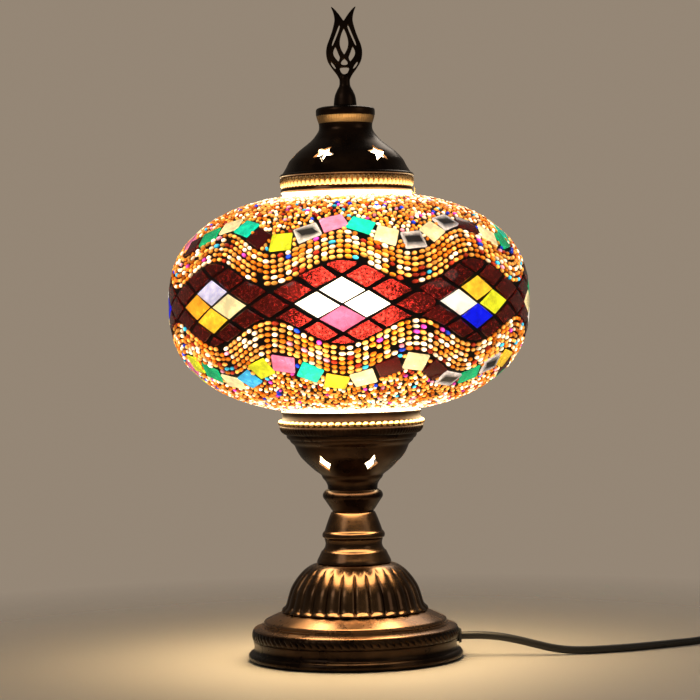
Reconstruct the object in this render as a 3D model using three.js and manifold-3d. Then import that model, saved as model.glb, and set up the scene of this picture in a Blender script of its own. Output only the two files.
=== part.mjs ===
// A mosaic glass table lamp: a turned metal base and stem, a pierced gallery bowl, a squashed glass
// globe covered with cut glass and beads, a pierced metal cap and a flat tulip finial.
//
// Frame: millimetres, +Z up, origin in the middle of the felt pad's underside. The front is -Y and
// the cord leaves on +X. An azimuth is measured from the front, positive towards +X.
// An outline is a list of [radius, height] pairs, anticlockwise, so its outer side runs upwards.

import * as THREE from "three";
import { mergeVertices } from "three/addons/utils/BufferGeometryUtils.js";
import Module from "manifold-3d";

const wasm = await Module();
wasm.setup();

// ------------------------------------------------------------------ driving dimensions

const GAP = 0.3; // between pieces that touch
const TURNED_SIDES = 32; // facets round a large turned piece
const STEM_SIDES = 24; // facets round the stem's pieces
const SMALL_SIDES = 16; // facets round a small one

const ROD = { outer: 5, bore: 3.6, bottom: 23.5, top: 134 };
const ROD_HOLE = ROD.outer + GAP;

const FELT = { radius: 70, thickness: 2 };
const BASE = { deck: 33, underDeck: 31.4, boreRadius: 68.9 };
const WEIGHT = { bore: 12, thickness: 6 };
const FLUTES = { count: 28, depth: 1.3 };
const GALLERY = { floor: 119.4, ledge: 163, ledgeBore: 38.5 };

// The globe is a squashed ball: (r / radius)^power + (h / halfHeight)^power = 1 about its centre.
const GLOBE = { centre: 246.5, radius: 121.6, halfHeight: 73.6, power: 2.45, wall: 2.8 };
const NECK = { outer: 42.5, bore: 39.5, bottom: GALLERY.ledge + GAP, top: 330 };
const MOSAIC = { inner: 1.4, outer: 3.4, period: 8, firstCluster: -2, bareRing: 70, columns: 32 };

const CAP = { rim: 322.3, rimBore: 44.1, seat: NECK.top + GAP, top: 381.7 };
const STARS = { tip: 8, notch: 3.7, radius: 36.5, height: 348.3, tilt: 42 };
const LOZENGES = { halfWidth: 4.9, halfHeight: 7.9, pinch: 0.43, radius: 32, height: 136.5, tilt: -48 };
const CLIPS = { azimuths: [88, 238], width: 6, thickness: 0.6 };

const STUD = { radius: 3, bottom: 370, top: 391 };
const FINIAL = { foot: CAP.top + GAP, thickness: 4, top: 451.5 };

const HOLDER = { bottom: 126.5, split: 151.7, top: 188, radius: 20, wall: 2 };
const TERMINALS = { bottom: 148, top: 158, radius: 17.4 };
const BULB = { tip: 163, cap: 168.5, collar: 186, rim: 222, top: 271, radius: 30, wall: 1.2 };

const CORD = { radius: 2.75, sides: 8, exit: 70.6, height: 14.3 };
const GROMMET = { bore: CORD.radius + GAP, body: 4.2, flange: 5.6 };
const COIL = { centre: [345, -20], inner: 22.2, outer: 42, layers: 2 };
const SWITCH = { centre: [304, 44], halfLength: 30, halfWidth: 10, wall: 1.5, split: 7.3, top: 14.5 };
const ROCKER = { pivot: 12.2, halfLength: 7, halfWidth: 4.2, rest: 8 };
const PLUG = { back: [333, -72], height: 7, relief: 18, body: 29, halfWidth: 17.6, halfThick: 6.8 };
const PIN = { radius: 2, length: 19, spacing: 19 };

// ------------------------------------------------------------------ finishes

const FINISHES = {
  bronze: { color: 0x33231b, roughness: 0.42, metalness: 0.85 },
  copper: { color: 0x5b3a26, roughness: 0.36, metalness: 0.9 },
  blackIron: { color: 0x17120f, roughness: 0.5, metalness: 0.7 },
  steel: { color: 0xa9abad, roughness: 0.35, metalness: 0.95 },
  ballast: { color: 0x4a4846, roughness: 0.8, metalness: 0.5 },
  brass: { color: 0xc49a4a, roughness: 0.3, metalness: 0.95 },
  felt: { color: 0x1f2420, roughness: 0.98, metalness: 0 },
  rubber: { color: 0x111111, roughness: 0.7, metalness: 0 },
  flex: { color: 0x0c0c0d, roughness: 0.5, metalness: 0 },
  moulding: { color: 0x141415, roughness: 0.4, metalness: 0 },
  whiteMoulding: { color: 0xe6e2d8, roughness: 0.45, metalness: 0 },
  porcelain: { color: 0xe9e5da, roughness: 0.3, metalness: 0 },
  liveCore: { color: 0x6b3f22, roughness: 0.5, metalness: 0 },
  neutralCore: { color: 0x2a55a0, roughness: 0.5, metalness: 0 },
  opal: { color: 0xfff1d6, roughness: 0.35, metalness: 0 },
  clearGlass: { color: 0xf7e6c8, roughness: 0.25, metalness: 0 },
  rubyGlass: { color: 0x6e0c12, roughness: 0.2, metalness: 0 },
  amberBeads: { color: 0xe08a18, roughness: 0.2, metalness: 0 },
  mixedGlass: { color: 0xd8b040, roughness: 0.2, metalness: 0 },
};

// ------------------------------------------------------------------ helpers

const radians = THREE.MathUtils.degToRad;

function piece(name, geometry, finish) {
  const mesh = new THREE.Mesh(geometry, new THREE.MeshStandardMaterial(FINISHES[finish]));
  mesh.name = name;
  return mesh;
}

function group(...children) {
  return new THREE.Group().add(...children);
}

// A solid of revolution about Z. An outline that doesn't begin and end on the axis is closed.
function turned(outline, sides = TURNED_SIDES) {
  const points = outline.map(([r, z]) => new THREE.Vector2(r, z));
  if (points[0].x > 0 || points.at(-1).x > 0) points.push(points[0].clone());
  return new THREE.LatheGeometry(points, sides).rotateX(Math.PI / 2);
}

function disc(inner, outer, low, high, sides = SMALL_SIDES) {
  return turned([[inner, low], [outer, low], [outer, high], [inner, high]], sides);
}

function rod(radius, low, high, sides = SMALL_SIDES) {
  return disc(0, radius, low, high, sides);
}

// Moves each vertex of a turned piece to the [radius, height] that reshape gives for it.
function reshaped(geometry, reshape) {
  const at = geometry.getAttribute("position");
  for (let i = 0; i < at.count; i++) {
    const azimuth = Math.atan2(at.getX(i), -at.getY(i));
    const [r, z] = reshape(azimuth, Math.hypot(at.getX(i), at.getY(i)), at.getZ(i));
    at.setXYZ(i, r * Math.sin(azimuth), -r * Math.cos(azimuth), z);
  }
  return geometry;
}

function polygon(points) {
  return new THREE.Shape(points.map(([x, y]) => new THREE.Vector2(x, y)));
}

// A shape drawn in X and Z, extruded along Y with its middle on Y = 0.
function upright(shape, thickness, curveSegments = 2) {
  return new THREE.ExtrudeGeometry(shape, { depth: thickness, bevelEnabled: false, curveSegments })
    .rotateX(Math.PI / 2)
    .translate(0, thickness / 2, 0);
}

// A shape drawn in X and Y, extruded upwards.
function slab(shape, low, high) {
  const options = { depth: high - low, bevelEnabled: false, curveSegments: 3 };
  return new THREE.ExtrudeGeometry(shape, options).translate(0, 0, low);
}

// A round tube whose centre runs through the points.
function tube(points, radius, sides, steps) {
  const section = [];
  for (let i = 0; i < sides; i++) {
    const angle = (2 * Math.PI * i) / sides;
    section.push([radius * Math.cos(angle), radius * Math.sin(angle)]);
  }
  const extrudePath = new THREE.CatmullRomCurve3(points.map((p) => new THREE.Vector3(...p)));
  return new THREE.ExtrudeGeometry(polygon(section), { steps, extrudePath, bevelEnabled: false });
}

function hexNut(bore, acrossFlats, low, high) {
  return carved(rod(acrossFlats / Math.sqrt(3), low, high, 6), rod(bore, low - 1, high + 1, 16));
}

// manifold-3d solids from and to three.js geometry
function solid(geometry) {
  const bare = geometry.index ? geometry.toNonIndexed() : geometry.clone();
  bare.deleteAttribute("normal");
  bare.deleteAttribute("uv");
  const merged = mergeVertices(bare, 1e-3);
  return new wasm.Manifold(new wasm.Mesh({
    numProp: 3,
    vertProperties: merged.getAttribute("position").array,
    triVerts: new Uint32Array(merged.index.array),
  }));
}

function fromSolid(made) {
  const mesh = made.getMesh();
  return new THREE.BufferGeometry()
    .setAttribute("position", new THREE.BufferAttribute(mesh.vertProperties, 3))
    .setIndex(new THREE.BufferAttribute(mesh.triVerts, 1));
}

function carved(geometry, ...cutters) {
  let made = solid(geometry);
  for (const cutter of cutters) made = made.subtract(solid(cutter));
  return fromSolid(made);
}

function joined(...geometries) {
  return fromSolid(geometries.map(solid).reduce((whole, next) => whole.add(next)));
}

// Stands a prism, drawn in X and Y about the origin, on a turned surface: its X runs round the
// piece, its Y up the slope, and it passes through the wall along the surface's normal.
function pierce(shape, azimuth, { radius, height, tilt }) {
  const depth = 14;
  const [a, e] = [radians(azimuth), radians(tilt)];
  const around = new THREE.Vector3(Math.cos(a), Math.sin(a), 0);
  const normal = new THREE.Vector3(Math.sin(a) * Math.cos(e), -Math.cos(a) * Math.cos(e), Math.sin(e));
  const uphill = normal.clone().cross(around);
  const place = new THREE.Matrix4().makeBasis(around, uphill, normal);
  place.setPosition(radius * Math.sin(a), -radius * Math.cos(a), height);
  return new THREE.ExtrudeGeometry(shape, { depth, bevelEnabled: false })
    .translate(0, 0, -depth / 2)
    .applyMatrix4(place);
}

// ------------------------------------------------------------------ base

function basePlate() {
  const plate = turned([
    [71.4, 1.2], [74, 1.6], [74, 4.6], [70.5, 7.2], [70.5, 12], [71.2, 14], [71.2, 21],
    [68, 22.6], [64.4, 23.6], [62.9, 24.6], [62.9, 27.4], [50.4, BASE.deck],
    [ROD_HOLE, BASE.deck], [ROD_HOLE, BASE.underDeck], [49.8, BASE.underDeck], [61.2, 26.2],
    [61.2, 21.9], [67.6, 20.6], [BASE.boreRadius, 7], [71.4, 5],
  ]);
  const cordHole = new THREE.CylinderGeometry(4.5, 4.5, 20, 16)
    .rotateZ(Math.PI / 2)
    .translate(BASE.boreRadius, 0, CORD.height);
  return carved(plate, cordHole);
}

function baseWeight() {
  const low = FELT.thickness + GAP;
  return disc(WEIGHT.bore, BASE.boreRadius - 0.5, low, low + WEIGHT.thickness, TURNED_SIDES);
}

// A rubber bush that the cord leaves the base through: a flange each side of the base's wall.
function cordGrommet() {
  const { bore, body, flange } = GROMMET;
  return turned([
    [bore, 65.5], [flange, 65.5], [flange, 66.9], [body, 66.9], [body, 71.6], [flange, 71.6],
    [4.6, 73.4], [bore, 73.4],
  ], 16)
    .rotateY(Math.PI / 2)
    .translate(0, 0, CORD.height);
}

function baseAssembly() {
  return group(
    piece("felt_pad", rod(FELT.radius, 0, FELT.thickness, TURNED_SIDES), "felt"),
    piece("base_plate", basePlate(), "copper"),
    piece("base_weight", baseWeight(), "ballast"),
    piece("base_washer", disc(ROD_HOLE, 12, 29.8, 31.1), "steel"),
    piece("base_nut", hexNut(ROD_HOLE, 14, 24.5, 29.5), "steel"),
    piece("cord_grommet", cordGrommet(), "rubber"),
  );
}

// ------------------------------------------------------------------ stem

// A fluted dome, hollow below. The outer wall swells between the flutes and is plain inside.
function flutedDome() {
  const dome = turned([
    [46, 33.3], [50.2, 33.3], [47.4, 40.5], [44.4, 49], [39.4, 57], [32.6, 63.4],
    [26, 66.3], [ROD_HOLE, 66.3], [ROD_HOLE, 62.6], [26, 62.6], [37, 54.4], [42.4, 44.6],
  ], 2 * FLUTES.count);
  return reshaped(dome, (azimuth, r, z) => {
    const outerWall = z < 66 && r > 26 && r > 50.2 - 0.22 * (z - 33.3) - 0.026 * (z - 33.3) ** 1.85;
    const groove = (1 - Math.cos(FLUTES.count * azimuth)) / 2;
    return [outerWall ? r - FLUTES.depth * groove : r, z];
  });
}

function neckFlare() {
  return turned([
    [24.1, 66.6], [25.6, 66.6], [24.9, 69.5], [22.4, 72.6], [21.8, 75], [19.7, 78], [19.6, 80.4],
    [20.4, 83.4], [ROD_HOLE, 83.4], [ROD_HOLE, 81.8], [17.9, 81.8], [18, 77.6], [20.4, 73.6],
  ], STEM_SIDES);
}

function coneCollar() {
  return turned([
    [19.3, 83.7], [20.8, 83.7], [21.5, 86], [20.8, 88.7], [18.4, 94.3], [14.4, 101.9],
    [ROD_HOLE, 101.9], [ROD_HOLE, 100.3], [13.4, 100.3], [16.9, 93.9], [19.6, 87.5],
  ], STEM_SIDES);
}

function knop() {
  return turned([
    [13, 102.2], [14.5, 102.2], [17.3, 106.7], [20.1, 110.9], [20.8, 113], [19.7, 115.2],
    [17.7, 117.6], [ROD_HOLE, 117.6], [ROD_HOLE, 116], [16.8, 116], [18.8, 113], [15.6, 107.2],
  ], STEM_SIDES);
}

// The pierced bowl that carries the globe. The glass neck stands on the ledge inside its rim.
function galleryBowl() {
  const { floor, ledge, ledgeBore } = GALLERY;
  const bowl = turned([
    [17.3, 117.9], [17.8, 121.6], [22, 127.6], [29.1, 133.7], [35.3, 140], [39.4, 147.4],
    [44.8, 155.4], [49.9, 162.8], [49.9, 165], [48.1, 167], [48.1, 172], [46.6, 172],
    [46.6, ledge], [ledgeBore, ledge], [ledgeBore, ledge - 1.4], [46.6, ledge - 1.4],
    [43.6, 156.4], [37.8, 147.6], [33.9, 140.8], [28, 135], [20.4, 128.6], [16.4, 122.4],
    [16, floor], [ROD_HOLE, floor], [ROD_HOLE, 117.9],
  ]);
  const lozenges = [];
  for (let azimuth = 24; azimuth < 384; azimuth += 60) {
    lozenges.push(pierce(lozenge(), azimuth, LOZENGES));
  }
  return carved(bowl, ...lozenges);
}

// A four-pointed star, taller than it is wide, with its sides pinched in.
function lozenge() {
  const { halfWidth: w, halfHeight: h, pinch } = LOZENGES;
  const points = [];
  for (const [x, y] of [[1, 0], [0, 1], [-1, 0], [0, -1]]) {
    points.push([w * x, h * y]);
    points.push([w * pinch * (x - y), h * pinch * (y + x)]);
  }
  return polygon(points);
}

function stemAssembly() {
  const { outer, bore, bottom, top } = ROD;
  return group(
    piece("threaded_rod", disc(bore, outer, bottom, top, 16), "steel"),
    piece("fluted_dome", flutedDome(), "bronze"),
    piece("neck_flare", neckFlare(), "bronze"),
    piece("cone_collar", coneCollar(), "bronze"),
    piece("knop", knop(), "bronze"),
    piece("gallery_bowl", galleryBowl(), "bronze"),
    piece("gallery_washer", disc(ROD_HOLE, 13, 119.7, 120.9), "steel"),
    piece("gallery_nut", hexNut(ROD_HOLE, 14, 121.2, 126.2), "steel"),
  );
}

// ------------------------------------------------------------------ lampholder, screw size E27

function holderBase() {
  const { bottom, split, radius, wall } = HOLDER;
  return turned([
    [ROD_HOLE, bottom], [10.5, bottom], [11.5, 132], [18.8, 141], [radius, 144], [radius, split],
    [radius - wall, split], [radius - wall, 145], [10, 136.5], [ROD_HOLE, 136.5],
  ], SMALL_SIDES);
}

function holderShell() {
  const { split, top, radius, wall } = HOLDER;
  const low = split + GAP;
  return turned([
    [radius - wall, low], [radius, low], [radius, top], [14.8, top], [14.8, top - 1.4],
    [radius - wall, top - 1.4],
  ], SMALL_SIDES);
}

// The sprung tongue that the lamp's tip presses on.
function centreContact() {
  return upright(polygon([
    [-10, 158.3], [-4, 158.3], [3, 161.9], [5, 161.9], [5, 162.6], [2.7, 162.6], [-4.2, 159.1],
    [-10, 159.1],
  ]), 6);
}

// A cheese-head screw. Its slot runs along Y.
function screw(radius, low, high) {
  const slot = new THREE.BoxGeometry(0.6, 3 * radius, 1).translate(0, 0, high);
  return carved(rod(radius, low, high, 10), slot);
}

function holderAssembly() {
  const { bottom, top, radius } = TERMINALS;
  const assembly = group(
    piece("holder_base", holderBase(), "whiteMoulding"),
    piece("holder_shell", holderShell(), "whiteMoulding"),
    piece("terminal_block", rod(radius, bottom, top), "porcelain"),
    piece("screw_shell", disc(13.7, 14.3, 160.3, 185), "brass"),
    piece("centre_contact", centreContact(), "brass"),
  );
  for (const [number, side] of [[1, -1], [2, 1]]) {
    const terminal = piece(`terminal_screw_${number}`, screw(1.9, top + GAP, top + 1.9), "steel");
    terminal.position.set(0, side * 11, 0);
    assembly.add(terminal);
  }
  return assembly;
}

// ------------------------------------------------------------------ LED bulb, cap size E27

function bulbDome() {
  const { rim, top, radius, wall } = BULB;
  const low = rim + GAP;
  const inner = radius - wall;
  return turned([
    [27.6, low], [28.8, low], [radius, 234], [29.2, 247], [24.4, 259.4], [14.6, 268], [0, top],
    [0, top - wall], [14, 266.9], [23.4, 258.6], [28, 246.6], [inner, 234],
  ], SMALL_SIDES);
}

function bulbAssembly() {
  const { tip, cap, collar, rim } = BULB;
  return group(
    piece("bulb_tip", turned([[0, tip], [3.6, tip], [4.5, tip + 2], [0, tip + 2]], 12), "brass"),
    piece("bulb_insulator", turned([[0, 165.3], [6, 165.3], [12.6, 168.2], [0, 168.2]], SMALL_SIDES),
      "moulding"),
    piece("bulb_cap", turned([[0, cap], [12.8, cap], [13.2, cap + 1.5], [13.2, collar], [0, collar]],
      SMALL_SIDES), "steel"),
    piece("bulb_housing", turned([
      [0, collar + GAP], [13.4, collar + GAP], [14.4, 190], [19, 203], [26.6, 217], [28.6, rim],
      [0, rim],
    ], SMALL_SIDES), "whiteMoulding"),
    piece("bulb_led_board", rod(22, rim + GAP, rim + 2), "whiteMoulding"),
    piece("bulb_dome", bulbDome(), "opal"),
  );
}

// ------------------------------------------------------------------ globe

// The point of the globe's curve at a latitude in degrees, pushed out from the glass by offset.
function globePoint(latitude, offset) {
  const t = radians(latitude);
  const r = (GLOBE.radius + offset) * Math.cos(t) ** (2 / GLOBE.power);
  const h = (GLOBE.halfHeight + offset) * Math.abs(Math.sin(t)) ** (2 / GLOBE.power);
  return [r, GLOBE.centre + Math.sign(t) * h];
}

// Half of the globe's curve between its necks ends where the curve meets a neck's radius.
function neckLatitude(radius, offset) {
  const share = radius / (GLOBE.radius + offset);
  return THREE.MathUtils.radToDeg(Math.acos(share ** (GLOBE.power / 2)));
}

function globeCurve(radius, offset, steps) {
  const limit = neckLatitude(radius, offset);
  const points = [];
  for (let i = 0; i <= steps; i++) points.push(globePoint(limit * (2 * i / steps - 1), offset));
  return points;
}

function globeGlass() {
  const { outer, bore, bottom, top } = NECK;
  return turned([
    [outer, bottom], ...globeCurve(outer, 0, 10), [outer, top], [bore, top],
    ...globeCurve(bore, -GLOBE.wall, 8).reverse(), [bore, bottom],
  ]);
}

// A latitude that waves round the globe, highest over each cluster of the pattern.
function wave(trough, crest, azimuth) {
  const phase = Math.cos(MOSAIC.period * (azimuth - radians(MOSAIC.firstCluster)));
  return (trough + crest) / 2 + ((crest - trough) / 2) * phase;
}

// A skin of mosaic on the glass between two wavy latitudes, given as functions of azimuth.
// It is turned with its radius as the offset from the glass plus 100, and its height as the
// share of the way from the lower edge to the upper.
function mosaicSkin(lower, upper, rows) {
  const [inner, outer] = [100 + MOSAIC.inner, 100 + MOSAIC.outer];
  const outline = [];
  for (let i = 0; i <= rows; i++) outline.push([outer, i / rows]);
  for (let i = rows; i >= 0; i--) outline.push([inner, i / rows]);
  return reshaped(turned(outline, MOSAIC.columns), (azimuth, r, share) => {
    const latitude = THREE.MathUtils.lerp(lower(azimuth), upper(azimuth), share);
    return globePoint(latitude, r - 100);
  });
}

function globeAssembly() {
  const seam = 0.15; // degrees of latitude between two skins
  const tileEdge = (a) => wave(5.4, 17, a);
  const stringEdge = (a) => wave(20.6, 33.4, a);
  const last = () => MOSAIC.bareRing;
  const assembly = group(
    piece("globe_glass", globeGlass(), "clearGlass"),
    piece("diamond_tiles", mosaicSkin((a) => -tileEdge(a), tileEdge, 2), "rubyGlass"),
  );
  for (const [name, side] of [["upper", 1], ["lower", -1]]) {
    const band = (from, to) => (side > 0
      ? [(a) => from(a) + seam, to]
      : [(a) => -to(a), (a) => -from(a) - seam]);
    assembly.add(
      piece(`${name}_bead_strings`, mosaicSkin(...band(tileEdge, stringEdge), 2), "amberBeads"),
      piece(`${name}_tiles_and_beads`, mosaicSkin(...band(stringEdge, last), 4), "mixedGlass"),
    );
  }
  return assembly;
}

// ------------------------------------------------------------------ cap

function capShell() {
  const { rim, rimBore, seat, top } = CAP;
  const studHole = STUD.radius + GAP;
  const shell = turned([
    [rimBore, rim], [45.4, rim], [45.4, 327.2], [46, 334], [42.6, 339], [38.1, 346.3],
    [34.3, 350.5], [23.9, 358.8], [20.4, 362.9], [18.4, 368], [20.1, 376], [20.1, 379.8],
    [17.7, top], [studHole, top], [studHole, top - 1.4], [18, top - 1.4], [18.6, 376], [16.9, 368.3],
    [18.9, 362.3], [22.8, 357.9], [33.2, 349.4], [36.7, 345.4], [rimBore, 334],
    [rimBore, seat + 1.4], [40.3, seat + 1.4], [40.3, seat], [rimBore, seat],
  ]);
  return carved(shell, ...starCutters());
}

// Five-pointed stars, punched by hand, so each is turned its own way.
function starCutters() {
  const punches = [[-25, -28], [37, 4], [96, 15], [155, -9], [215, 22], [275, -18]];
  return punches.map(([azimuth, turn]) => pierce(star(turn), azimuth, STARS));
}

function star(turn) {
  const points = [];
  for (let i = 0; i < 10; i++) {
    const angle = radians(90 + turn + 36 * i);
    const reach = i % 2 ? STARS.notch : STARS.tip;
    points.push([reach * Math.cos(angle), reach * Math.sin(angle)]);
  }
  return polygon(points);
}

// A strip of spring brass: up inside the cap's rim against the glass neck, under the rim, and
// turned up outside it. It is drawn along +X and turned to its place.
function capClip() {
  const t = CLIPS.thickness;
  return upright(polygon([
    [43, 321.2], [47.2, 321.2], [47.2, 325.6], [47.2 - t, 325.6], [47.2 - t, 321.2 + t],
    [43 + t, 321.2 + t], [43 + t, 329.6], [43, 329.6],
  ]), CLIPS.width);
}

function capAssembly() {
  const studHole = STUD.radius + GAP;
  const assembly = group(
    piece("cap_shell", capShell(), "bronze"),
    piece("finial_washer", disc(studHole, 8, 378.8, 380), "steel"),
    piece("finial_nut", hexNut(studHole, 10, 373.5, 378.5), "steel"),
  );
  CLIPS.azimuths.forEach((azimuth, i) => {
    const clip = piece(`cap_clip_${i + 1}`, capClip(), "brass");
    clip.rotation.z = radians(azimuth - 90);
    assembly.add(clip);
  });
  return assembly;
}

// ------------------------------------------------------------------ finial

function leafHole(tip, side, foot, otherSide) {
  const hole = new THREE.Path();
  hole.moveTo(...tip);
  hole.quadraticCurveTo(...side, ...foot);
  hole.quadraticCurveTo(...otherSide, ...tip);
  return hole;
}

// The tulip: one flat casting, pierced, on a round bell foot with a bore for the stud.
function finialBody() {
  const rightSide = [
    [3.4, 398], [3.7, 401.7], [5.4, 404.3], [8.2, 408], [11.4, 413.3], [12.5, 418.6], [11.9, 423.9],
    [9.9, 429.2], [8, 434.5], [6.5, 439.8], [6.3, 443.6], [8.3, FINIAL.top],
  ];
  const outline = new THREE.Shape();
  outline.moveTo(...rightSide[0]);
  outline.splineThru(rightSide.slice(1).map(([x, z]) => new THREE.Vector2(x, z)));
  outline.lineTo(0, 442.5);
  outline.lineTo(-8.3, FINIAL.top);
  const leftSide = rightSide.map(([x, z]) => new THREE.Vector2(-x, z)).reverse().slice(1);
  outline.splineThru(leftSide);

  outline.holes.push(leafHole([0, 433.5], [-5.2, 425], [0, 417], [5.2, 425]));
  outline.holes.push(leafHole([-2.8, 407.6], [0, 403.4], [2.8, 407.6], [0, 408.8]));
  outline.holes.push(leafHole([-2, 411.2], [0, 410.2], [2, 411.2], [0, 415.6]));
  for (const side of [-1, 1]) {
    const mirrored = (...points) => leafHole(...points.map(([x, z]) => [side * x, z]));
    outline.holes.push(mirrored([3, 439.8], [4.6, 431], [8.7, 423.4], [7.4, 432.6]));
    outline.holes.push(mirrored([5.6, 421.8], [2.4, 416.6], [5.5, 413.3], [8.6, 416.4]));
    outline.holes.push(mirrored([9.6, 412.3], [6.6, 411.2], [6.1, 407.5], [8.8, 408.8]));
  }

  const bore = STUD.radius + GAP;
  const boreTop = STUD.top + GAP;
  const foot = turned([
    [0, boreTop], [bore, boreTop], [bore, FINIAL.foot], [7.9, FINIAL.foot], [7.7, 386], [7.1, 389.5],
    [5.3, 393.7], [3.9, 396.4], [3.7, 401], [2.4, 403.4], [0, 403.4],
  ], 16);
  return joined(upright(outline, FINIAL.thickness), foot);
}

function finialAssembly() {
  return group(
    piece("finial_stud", rod(STUD.radius, STUD.bottom, STUD.top, 12), "steel"),
    piece("finial", finialBody(), "blackIron"),
  );
}

// ------------------------------------------------------------------ wiring inside the lamp

// The cord runs from the grommet across the base and up the rod.
function innerCord() {
  const { radius, sides, exit, height } = CORD;
  return tube([
    [exit - GAP, 0, height], [56, 0, height], [38, 0, 13.6], [22, 0, 12.4], [12, 0, 13.2],
    [4.6, 0, 16.4], [0.8, 0, 21], [0, 0, 26], [0, 0, 50], [0, 0, 95], [0, 0, 140],
  ], radius, sides, 28);
}

function coreWire(side) {
  return tube([
    [side * 1.4, 0, 140.7], [side * 2.4, 0, 142.6], [side * 4.6, 0, 145], [side * 5.4, 0, 147.6],
  ], 1.05, 6, 6);
}

function wiringAssembly() {
  return group(
    piece("inner_cord", innerCord(), "flex"),
    piece("live_core", coreWire(-1), "liveCore"),
    piece("neutral_core", coreWire(1), "neutralCore"),
  );
}

// ------------------------------------------------------------------ cord set

// From the grommet to the table and along it to the switch.
const RUN_ROUTE = [
  [70.6, 0, 14.3], [78, 0, 14.3], [86, -0.3, 14.2], [94, -0.9, 13.7], [103, -1.8, 12.6],
  [113, -2.9, 10.6], [124, -4, 7.9], [135, -4.7, 5.2], [146, -4.8, 3.5], [158, -3.9, 2.9],
  [170, -1.5, 2.8], [184, 2.8, 2.8], [198, 8.8, 2.8], [212, 16, 2.8], [226, 23.8, 2.8],
  [239, 31, 2.9], [250, 36.8, 3.7], [260, 41.2, 5.3], [268.5, 43.6, 6.9], [277, 44, 7.45],
];

// From the switch down to the table and round into the coil.
const LINK_ROUTE = [
  [331, 44, 7.45], [338.5, 43.7, 7], [346, 42, 5.8], [352.8, 38.6, 4.4], [359.1, 33.1, 3.2],
  [362.8, 27.9, 2.9], [366, 23.2, 2.8],
];

// From the top of the coil to the plug.
const TAIL_ROUTE = [[346, -67.9, 8.2], [341.5, -70.3, 7.7], [337.4, -71.6, 7.2], [333.3, -72, 7]];

function cordTube(route, steps) {
  return tube(route, CORD.radius, CORD.sides, steps);
}

// The outer shape of the coiled length, with its edges taken off.
function coilRing() {
  const inner = COIL.inner - CORD.radius;
  const outer = COIL.outer + CORD.radius;
  const high = COIL.layers * 2 * CORD.radius + GAP;
  return turned([
    [inner, 2], [inner + 2, 0], [outer - 2, 0], [outer, 2], [outer, high - 2], [outer - 2, high],
    [inner + 2, high], [inner, high - 2],
  ], STEM_SIDES);
}

function roundedBar(halfLength, halfWidth, corner) {
  const bar = new THREE.Shape();
  bar.moveTo(-halfLength + corner, -halfWidth);
  bar.lineTo(halfLength - corner, -halfWidth);
  bar.quadraticCurveTo(halfLength, -halfWidth, halfLength, -halfWidth + corner);
  bar.lineTo(halfLength, halfWidth - corner);
  bar.quadraticCurveTo(halfLength, halfWidth, halfLength - corner, halfWidth);
  bar.lineTo(-halfLength + corner, halfWidth);
  bar.quadraticCurveTo(-halfLength, halfWidth, -halfLength, halfWidth - corner);
  bar.lineTo(-halfLength, -halfWidth + corner);
  bar.quadraticCurveTo(-halfLength, -halfWidth, -halfLength + corner, -halfWidth);
  return bar;
}

function switchHalf(low, high, floorLow, floorHigh, ...extraCutters) {
  const { halfLength, halfWidth, wall, split } = SWITCH;
  const bore = new THREE.CylinderGeometry(GROMMET.bore, GROMMET.bore, 4 * halfLength, 16)
    .rotateZ(Math.PI / 2)
    .translate(0, 0, split + GAP / 2);
  const cavity = slab(roundedBar(halfLength - wall, halfWidth - wall, 3), floorLow, floorHigh);
  return carved(slab(roundedBar(halfLength, halfWidth, 4.5), low, high), cavity, bore, ...extraCutters);
}

function rocker() {
  const { halfLength: h } = ROCKER;
  const side = polygon([
    [-3.5, -1.2], [3.5, -1.2], [h, 1.2], [h, 4.8], [0, 3.7], [-h, 4.8], [-h, 1.2],
  ]);
  return upright(side, 2 * ROCKER.halfWidth);
}

function switchAssembly() {
  const { wall, split, top } = SWITCH;
  const low = 0.2;
  const screwSpots = [[-22, 6], [22, -6]];
  const screwHoles = screwSpots.map(([x, y]) => rod(1.8, -1, 4, 10).translate(x, y, 0));
  const opening = new THREE.BoxGeometry(16.6, 9.2, 6).translate(0, 0, top);
  const button = piece("switch_rocker", rocker(), "moulding");
  button.position.z = ROCKER.pivot;
  button.rotation.y = radians(ROCKER.rest);
  const contact = new THREE.BoxGeometry(18, 5, 0.8).translate(0, 0, low + wall + GAP + 0.4);
  const assembly = group(
    piece("switch_base", switchHalf(low, split, low + wall, split + 1, ...screwHoles), "moulding"),
    piece("switch_cover", switchHalf(split + GAP, top, split - 1, top - wall, opening), "moulding"),
    button,
    piece("switch_contact", contact, "brass"),
  );
  screwSpots.forEach(([x, y], i) => {
    const screwPiece = piece(`switch_screw_${i + 1}`, screw(1.4, low + GAP, 5), "steel");
    screwPiece.position.set(x, y, 0);
    assembly.add(screwPiece);
  });
  assembly.position.set(...SWITCH.centre, 0);
  return assembly;
}

// A flat two-pin plug, drawn with its cord at the origin and its pins towards -X.
function plugBody() {
  const { relief, body, halfWidth, halfThick } = PLUG;
  const front = -(relief + body);
  const outline = polygon([
    [-relief + 1, -5], [-relief + 1, 5], [-relief - 8, 13], [front + 6, halfWidth],
    [front, halfWidth - 1.6], [front, 1.6 - halfWidth], [front + 6, -halfWidth], [-relief - 8, -13],
  ].reverse());
  const block = slab(outline, -halfThick, halfThick);
  const sleeve = turned([[0, 0], [3.6, 0], [4.6, relief + 2], [0, relief + 2]], 12).rotateY(-Math.PI / 2);
  return joined(block, sleeve);
}

function plugPin() {
  const start = -(PLUG.relief + PLUG.body) - GAP;
  return turned([[0, 0], [PIN.radius, 0], [PIN.radius, PIN.length - 1], [1.2, PIN.length],
    [0, PIN.length]], 10)
    .rotateY(-Math.PI / 2)
    .translate(start, 0, 0);
}

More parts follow.
